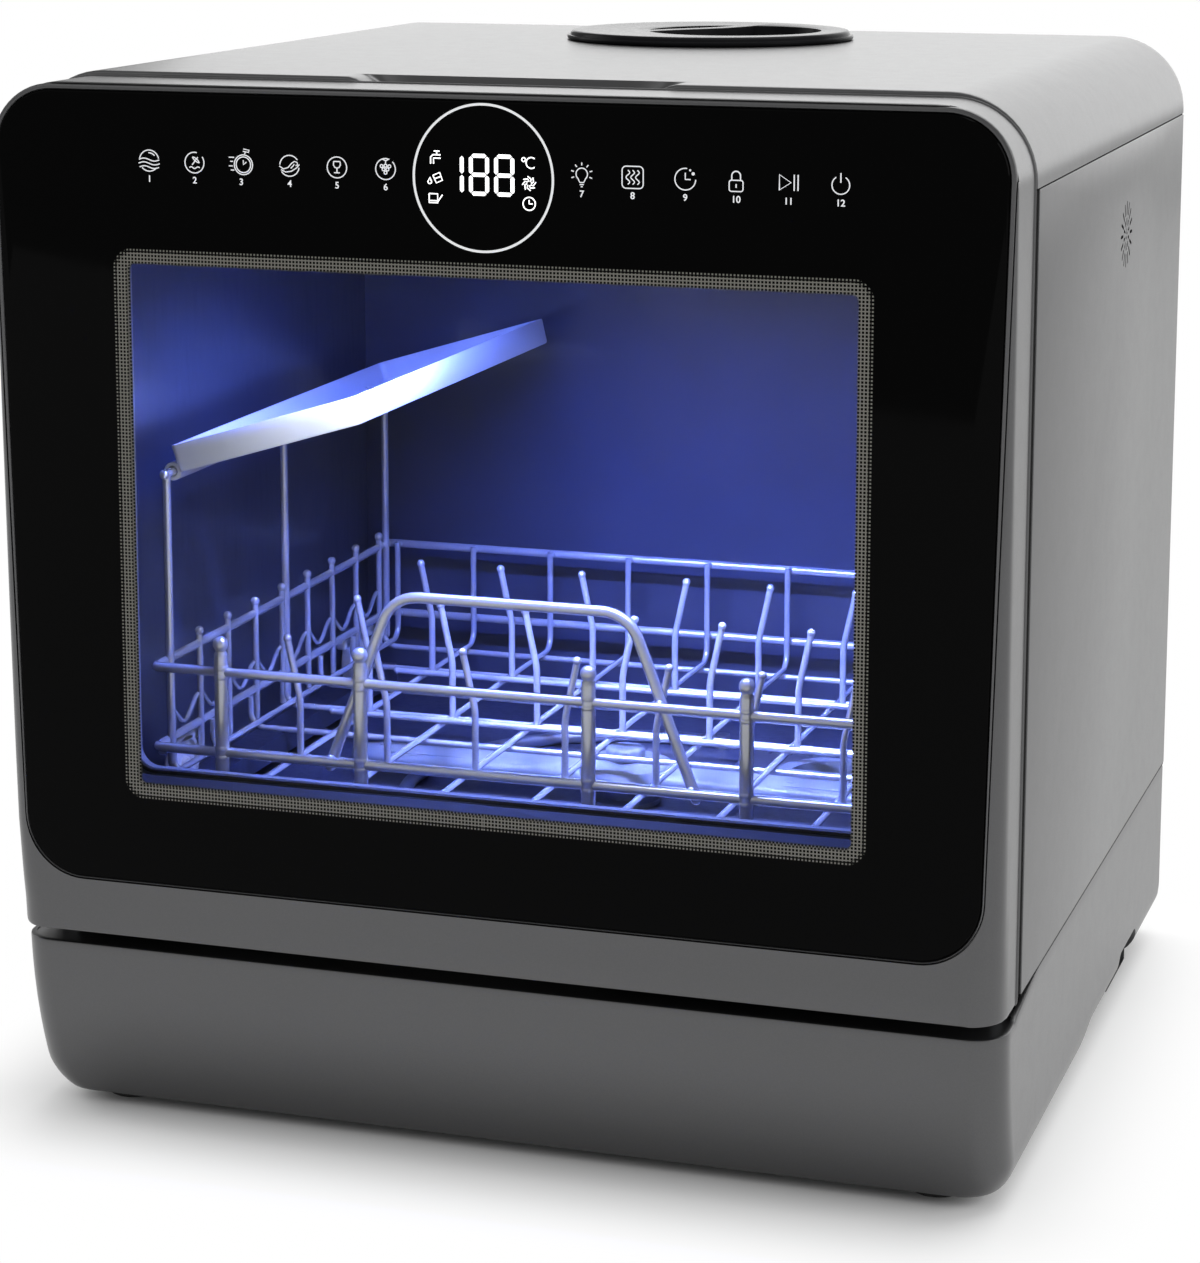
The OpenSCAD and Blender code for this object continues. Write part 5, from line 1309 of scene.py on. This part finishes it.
# Some of the nodes that keep their own mesh get a fine bevel on their sharp edges
FINE_EDGES = ("back_panel", "front_frame", "light_housing", "hinge_arm_left", "hinge_arm_right",
              "hinge_pins", "latch_body", "latch_hook", "latch_strike", "filter_plate", "filter_cup",
              "spray_hub", "fill_collar", "inlet_valve", "drain_spigot", "cord_gland", "panel_screws", "tub")
FINE_EDGE, TUB_EDGE = 0.25, 0.8
for name in FINE_EDGES:
    edges = NODES[name].modifiers.new("fine_edges", "BEVEL")
    edges.width, edges.segments = (TUB_EDGE if name == "tub" else FINE_EDGE) * MM, 2
    edges.limit_method, edges.angle_limit = "ANGLE", math.radians(48)


# ---------------------------------------------------------------- basket

WIRE_R, RAIL_R, POST_R, HANDLE_R, HANDLE_Z = 1.5, 2.1, 3.0, 2.4, 224.0
BASKET_X, BASKET_Y0, BASKET_Y1 = 169.0, -148.0, 122.0
FLOOR_Z, LOW_Z, TOP_Z = 140.0, 152.0, 187.0
RAILS_Z = (LOW_Z, TOP_Z)
PITCH = 40.0
COLUMNS = [i * PITCH for i in range(-4, 5)]
POSTS = (-136, -73, 27, 94)
TINE_ROWS, TINE_LEAN, TINE_Z = (-118, -38, 42), 5.4, 195.2
WAVE_Z, WAVE_RISE = 160.5, 4.5
GLIDE_R, GLIDE_Z, GLIDE_X0, GLIDE_X1 = 13.1, 135.6, 168.2, 173.3
SHELF_ROD_X, SHELF_Z = -165.0, 268.0
SHELF_Y0, SHELF_Y1 = -133.0, 112.0
ROD_PLACES = (SHELF_Y0 - 3, (SHELF_Y0 + SHELF_Y1) / 2, SHELF_Y1 + 3)


def evenly(low, high, count):
    """Places spread evenly between two."""
    return [low + k * (high - low) / (count - 1) for k in range(count)]


def wires(name, runs, radius, bend=0.0, balls=(), ball_r=None, welds=()):
    """Wires with balls at their ends and small beads of weld where they cross."""
    parts = [wire(name, runs, radius, bend)]
    if balls:
        parts.append(beads("balls", balls, ball_r or radius + 0.5))
    if welds:
        parts.append(beads("welds", welds, radius * 0.95, 8))
    return joined(name, parts)


def rack(name, parts, node):
    """A finished part of the basket that stands for one node."""
    finish(joined(name, parts), "coated_wire", "basket", [node], angle=50)


def make_basket_floor():
    """Floor wires with a ball at the front, raised at the back, over the cross wires."""
    front, back = BASKET_Y0 + 3.2, BASKET_Y1 - 3.8
    lengthwise = [[(x, front, FLOOR_Z), (x, back, FLOOR_Z), (x, back, TOP_Z + 1.2)] for x in COLUMNS]
    balls = [(x, front, FLOOR_Z) for x in COLUMNS]
    reach, under = BASKET_X - 4.6, FLOOR_Z - 2 * WIRE_R + 0.3
    rows = evenly(BASKET_Y0 + 12, BASKET_Y1 - 12, 7)
    crosswise = [[(-reach, y, LOW_Z - 1), (-reach, y, under), (reach, y, under), (reach, y, LOW_Z - 1)]
                 for y in rows]
    welds = [(x, y, under + 1.3) for x in COLUMNS for y in rows]
    rack("floor_wires", [wires("lengthwise", lengthwise, WIRE_R, 7, balls, 2.1),
                         wires("across", crosswise, WIRE_R - 0.05, 7, welds=welds)], "basket_floor")


def cross_rails(y, end_y):
    """Two rails across the basket, their ends turned to end_y."""
    x = BASKET_X - RAIL_R
    return [[(-x, end_y, z), (-x, y, z), (x, y, z), (x, end_y, z)] for z in RAILS_Z]


def make_basket_front():
    """Straight rails, turned back at their ends, and thick posts topped with balls."""
    shape = [(0.3, 137.6), (2.1, 137.9), (2.8, 138.9), (POST_R, 140.5), (POST_R, 194.0), (2.9, 195.2),
             (2.35, 195.9), (2.35, 196.4), (2.9, 197.0), (3.35, 198.2), (3.45, 199.2), (3.2, 200.4),
             (2.5, 201.5), (1.4, 202.2), (0.3, 202.5)]
    posts = [turned("post", shape, (x, BASKET_Y0), 24) for x in POSTS]
    welds = [(x, BASKET_Y0, z + shift) for x in POSTS for z in RAILS_Z for shift in (-2, 2)]
    rails = wires("front_rails", cross_rails(BASKET_Y0, BASKET_Y0 + 6), RAIL_R, 4.5)
    rack("front_rails", [rails, beads("welds", welds, 3.25, 14)] + posts, "basket_front")


def make_basket_back():
    """Two rails that the raised floor wires are welded to."""
    welds = [(x, BASKET_Y1 - 2.0, z) for x in COLUMNS for z in RAILS_Z]
    rails = cross_rails(BASKET_Y1, BASKET_Y1 - 6)
    rack("back_rails", [wires("back_rails", rails, RAIL_R, 4.5, welds=welds)], "basket_back")


def side_wires(side):
    """Rails, upright wires topped with balls and one wavy wire between them."""
    x = side * (BASKET_X - RAIL_R)
    inner = x - side * 0.9
    ys = evenly(BASKET_Y0 + 14, BASKET_Y1 - 14, 9)
    rails = [[(x, BASKET_Y0 + 6, z), (x, BASKET_Y1 - 6, z)] for z in RAILS_Z]
    uprights = [[(inner, y, 138.2), (inner, y, TOP_Z + 5.6)] for y in ys]
    waves = [(x, y, WAVE_Z + WAVE_RISE * math.cos(math.pi * k / 4))
             for k, y in enumerate(evenly(ys[0], ys[-1], 8 * len(ys) - 7))]
    balls = [(inner, y, TOP_Z + 5.8) for y in ys]
    welds = [(inner, y, z) for y in ys for z in RAILS_Z]
    return [wires("side_rails", rails, RAIL_R), wires("wave", [waves], 1.05),
            wires("uprights", uprights, WIRE_R, 0, balls, 2.15, welds)]


def make_basket_left():
    """Side grille that carries the rods of the cup shelf."""
    ends = [(SHELF_ROD_X, y, SHELF_Z) for y in (SHELF_Y0 - 5, SHELF_Y1 + 5)]
    feet = [(SHELF_ROD_X, y, FLOOR_Z + 2) for y in ROD_PLACES]
    rods = [[foot, (foot[0], foot[1], SHELF_Z)] for foot in feet]
    rack("left_side", side_wires(-1) + [wires("hinge_rod", [ends], 2.0, 0, ends, 2.2),
                                        wires("rods", rods, 1.9, 0, feet, 1.9)], "basket_left")


def make_basket_right():
    """Plain side grille."""
    rack("right_side", side_wires(1), "basket_right")


def make_handle():
    """One wide arch of wire that stands on the lower rail."""
    y = BASKET_Y0 + 5.75
    run = [(-89.2, y, 148.6), (-88, y, LOW_Z), (-60.5, y, HANDLE_Z), (42.5, y, HANDLE_Z), (70, y, LOW_Z),
           (71.2, y, 148.6)]
    welds = [(x, y - 2.3, LOW_Z) for x in (-88, 70)] + [(x, y - 2.1, TOP_Z) for x in (-74.2, 56.2)]
    rack("carrying_handle", [wires("handle", [run], HANDLE_R, 17, [run[0], run[-1]], 2.45),
                             beads("feet", welds, 2.3, 14)], "basket_handle")


def make_tines():
    """Rows of kinked tines, each row on a wire across the floor."""
    runs, tips, row_wires, row_ends, welds = [], [], [], [], []
    on_floor = FLOOR_Z + 3.2
    for y in TINE_ROWS:
        ends = [(-131, y, on_floor), (133, y, on_floor)]
        row_wires.append(ends)
        row_ends += ends
        for i in range(-3, 4):
            x = (i + 0.15) * PITCH
            lean = -TINE_LEAN if x < -20 else TINE_LEAN
            runs.append([(x, y + 2.6, FLOOR_Z + 1.2), (x, y + 2.6, 170), (x + lean, y + 2.6, TINE_Z)])
            tips.append((x + lean, y + 2.6, TINE_Z + 0.2))
            welds.append((x, y + 1.3, on_floor))
    rack("tines", [wires("tines", runs, 1.55, 26, tips, 1.95),
                   wires("tine_rows", row_wires, WIRE_R, 0, row_ends, 1.7, welds)], "plate_tines")


def make_glides():
    """Round glide shoes clipped to the side wires."""
    shoes = []
    for side in (-1, 1):
        inner, outer = side * GLIDE_X0, side * GLIDE_X1
        x0, x1 = across(side, GLIDE_X0, GLIDE_X1)
        hub_x = inner - 1.6 if side > 0 else inner - 0.2
        shape = ((inner, 10.5), (inner + side * 1.4, 9.8), (inner + side * 1.4, 3.2), (inner, 2.4),
                 (inner, 0.6), (inner + side * 0.6, 0), (outer - side * 0.8, 0), (outer, 0.8), (outer, 9))
        for y in (BASKET_Y0 + 34, BASKET_Y1 - 34):
            rings = [in_yz(ring((y, GLIDE_Z), GLIDE_R - shrink, 48), x) for x, shrink in shape]
            shoes.append(loft("shoe", rings))
            shoes.append(drum("hub", (hub_x, y, GLIDE_Z), 2.6, 1.9, along_x=True, sides=24))
            for shift in (-15.5, 15.5):
                arm = block("arm", (x0, y + shift - 3.4, 143.6), (x1, y + shift + 3.4, 148.8))
                shoes.append(soften(arm, 1.2, 3))
            shoes.append(soften(block("bar", (x0, y - 18.6, 144.4), (x1, y + 18.6, 148.6)), 1.4, 3))
    finish(joined("glide_shoes", shoes), "pale_plastic", "basket", ["basket_glides"], angle=40)


make_basket_floor()
make_basket_front()
make_basket_back()
make_basket_left()
make_basket_right()
make_handle()
make_tines()
make_glides()


# ---------------------------------------------------------------- cup shelf

SHELF_W, SHELF_TILT = 92.0, 17.0


def tilted(plan, height):
    """A plan (along the tray, across it) at a height over the tray, turned with it about its rod."""
    places = leaned([(u, height) for u, _ in plan], (SHELF_ROD_X, SHELF_Z), math.radians(SHELF_TILT))
    return [(x, v, z) for (x, z), (_, v) in zip(places, plan)]


def tray_ring(grow, height):
    """Plan of the tray at a height, with small corner radii."""
    out = grow - 1.2
    return tilted(rounded(3.2 - grow * 0.2, SHELF_W + out, SHELF_Y0 - out, SHELF_Y1 + out, 3, 3, 5), height)


def shelf_rib(y):
    """Sloping rib between the tray and its barrel."""
    section = leaned([(3.4, -1.0), (3.4, 2.6), (9, 1.0), (9, -1.0)], (SHELF_ROD_X, SHELF_Z),
                     math.radians(SHELF_TILT))
    return loft("rib", [in_xz(section, y - 1), in_xz(section, y + 1)])


def make_shelf():
    """Shallow tray with a plain rim, drained by slits, clipped to its rod."""
    shape = [(-1.6, -1.2), (-0.4, -1.0), (0.0, -0.3), (0.5, 10.4), (0.25, 10.8), (-0.9, 10.8), (-1.15, 10.4),
             (-1.6, 2.2), (-2.6, 1.2), (-4.0, 1.0)]
    tray = loft("tray", [tray_ring(grow, height) for grow, height in shape])
    slits = []
    for y in evenly(SHELF_Y0, SHELF_Y1, 10)[1:-1]:
        plan = rounded(18, SHELF_W - 16, y - 2.2, y + 2.2, 2.15, 2.15, 5)
        slits.append(loft("slit", [tilted(plan, height) for height in (-6, 6)]))
    cut(tray, joined("slits", slits))
    parts = [tray]
    for a, b in zip(ROD_PLACES, ROD_PLACES[1:]):
        barrel = ((a + 6.2, 2.4), (a + 6.2, 3.6), (a + 6.6, 4.0),
                  (b - 6.6, 4.0), (b - 6.2, 3.6), (b - 6.2, 2.4))
        parts.append(loft("barrel", [in_xz(ring((SHELF_ROD_X, SHELF_Z), r, 24), y) for y, r in barrel],
                          ends=False, loop=True))
        parts += [shelf_rib(a + 30), shelf_rib(b - 30)]
    finish(joined("shelf_tray", parts), "pale_plastic", "shelf", ["cup_shelf"], angle=35)


make_shelf()


# ---------------------------------------------------------------- stage, light and camera

FLOOR_SIZE = 8.0
SKY_STRENGTH = 0.42
# Half sizes of the middle of the floor, which keeps its shadow, and the width of the fade round it
SHADOW_X, SHADOW_Y, FADE = 175, 165, 95


def white_floor():
    """Pale floor that keeps the shadow near the object and fades to plain white further out."""
    paint = Paint("studio_floor", grey(0.97), 0.6, 0.0, Specular_IOR_Level=0.1)
    x, y, _ = paint.axes()
    away = paint.length((x.calc("ABSOLUTE") - SHADOW_X).calc("MAXIMUM", 0),
                        (y.calc("ABSOLUTE") - SHADOW_Y).calc("MAXIMUM", 0))
    paint.feed("Roughness", paint.noise(3, 2) * 0.1 + 0.55)
    rays = paint.add("ShaderNodeLightPath", {}, {}).link.node.outputs
    camera_ray, glossy_ray, through_ray = [
        Value(paint, rays[kind]) for kind in ("Is Camera Ray", "Is Glossy Ray", "Is Transmission Ray")]
    white = paint.add("ShaderNodeEmission", {}, {"Color": (1, 1, 1, 1), "Strength": 1.0})
    fade = away.step(0, FADE) * (camera_ray + glossy_ray + through_ray).clip()
    lit = Value(paint, paint.shader.outputs[0])
    blend = paint.add("ShaderNodeMixShader", {}, {0: fade, 1: lit, 2: white})
    paint.links.new(blend.link, paint.nodes["Material Output"].inputs["Surface"])
    return paint.material


bpy.ops.mesh.primitive_plane_add(size=FLOOR_SIZE, location=(0, 0, 0))
floor = made("studio_floor")
floor.data.materials.append(white_floor())


def make_world():
    """A white room: plain white to the camera and through glass, dimmer as a light."""
    world = bpy.data.worlds.new("studio")
    bpy.context.scene.world = world
    world.use_nodes = True
    nodes, links = world.node_tree.nodes, world.node_tree.links
    backdrop = nodes["Background"]
    backdrop.inputs["Color"].default_value = (1, 1, 1, 1)
    rays = nodes.new("ShaderNodeLightPath")
    shown = nodes.new("ShaderNodeMath")
    shown.operation = "MAXIMUM"
    links.new(rays.outputs["Is Camera Ray"], shown.inputs[0])
    links.new(rays.outputs["Is Transmission Ray"], shown.inputs[1])
    level = nodes.new("ShaderNodeMapRange")
    links.new(shown.outputs[0], level.inputs["Value"])
    level.inputs["To Min"].default_value = SKY_STRENGTH
    level.inputs["To Max"].default_value = 1.0
    links.new(level.outputs[0], backdrop.inputs["Strength"])


make_world()


def panel_light(name, place, target, width, height, power, colour=(1, 1, 1), spread=180):
    """A soft box at a place (m) that looks at a target."""
    lamp = bpy.data.lights.new(name, "AREA")
    lamp.shape, lamp.size, lamp.size_y = "RECTANGLE", width, height
    lamp.energy, lamp.color = power, colour
    lamp.spread = math.radians(spread)
    holder = bpy.data.objects.new(name, lamp)
    holder.location = place
    holder.rotation_euler = (Vector(target) - Vector(place)).to_track_quat("-Z", "Y").to_euler()
    bpy.context.scene.collection.objects.link(holder)


panel_light("from_behind", (0.2, 2.4, 1.1), (0, 0, 0.35), 3.4, 1.8, 26)
panel_light("overhead", (0.3, 0.4, 2.0), (0, 0, 0.3), 1.8, 1.4, 22)
panel_light("from_right", (2.2, -0.3, 1.1), (0.1, 0, 0.2), 1.4, 1.4, 15.5)
panel_light("from_left", (-2.3, 0.5, 1.3), (0, 0, 0.3), 1.4, 1.4, 12)
panel_light("from_front", (-1.2, -2.4, 1.6), (0, 0, 0.2), 1.6, 1.0, 4)
panel_light("tub_lamp", (0, -0.121, 0.4015), (0, 0.05, 0), 0.215, 0.022, 5.2, (0.10, 0.18, 1.0), 104)
panel_light("tub_lamp_core", (0, -0.121, 0.4012), (0, 0.03, 0), 0.215, 0.022, 0.7, (0.70, 0.78, 1.0), 68)
panel_light("tub_fill", (0.06, -0.158, 0.34), (0.02, 0.0, 0.12), 0.16, 0.02, 0.28, (0.62, 0.70, 1.0), 118)
panel_light("tray_fill", (-0.07, -0.163, 0.315), (-0.125, -0.12, 0.28), 0.06, 0.02, 0.06, (0.70, 0.76, 1.0),
            160)

CAMERA_PLACE = (0.4520, -1.4433, 0.5394)
CAMERA_YAW, CAMERA_PITCH, CAMERA_ROLL = (math.radians(angle) for angle in (17.97, 10.22, 0.058))
FOCAL_PX = 3447.934  # focal length in pixels of a picture that is PICTURE_H pixels tall
PICTURE_H = 1263
SHIFT_Y = -0.148


def make_camera():
    """The camera, its lens shifted so that upright edges stay nearly parallel."""
    lens = bpy.data.cameras.new("camera")
    lens.sensor_width = 36.0
    lens.lens = FOCAL_PX * lens.sensor_width / PICTURE_H
    lens.shift_y = SHIFT_Y
    lens.clip_start, lens.clip_end = 0.05, 50
    camera = bpy.data.objects.new("camera", lens)
    camera.location = CAMERA_PLACE
    level = math.cos(CAMERA_PITCH)
    forward = Vector((-math.sin(CAMERA_YAW) * level, math.cos(CAMERA_YAW) * level, -math.sin(CAMERA_PITCH)))
    turn = forward.to_track_quat("-Z", "Y").to_matrix() @ Matrix.Rotation(CAMERA_ROLL, 3, "Z")
    camera.rotation_euler = turn.to_euler()
    bpy.context.scene.collection.objects.link(camera)
    bpy.context.scene.camera = camera


make_camera()
bpy.context.scene.view_settings.view_transform = "Standard"
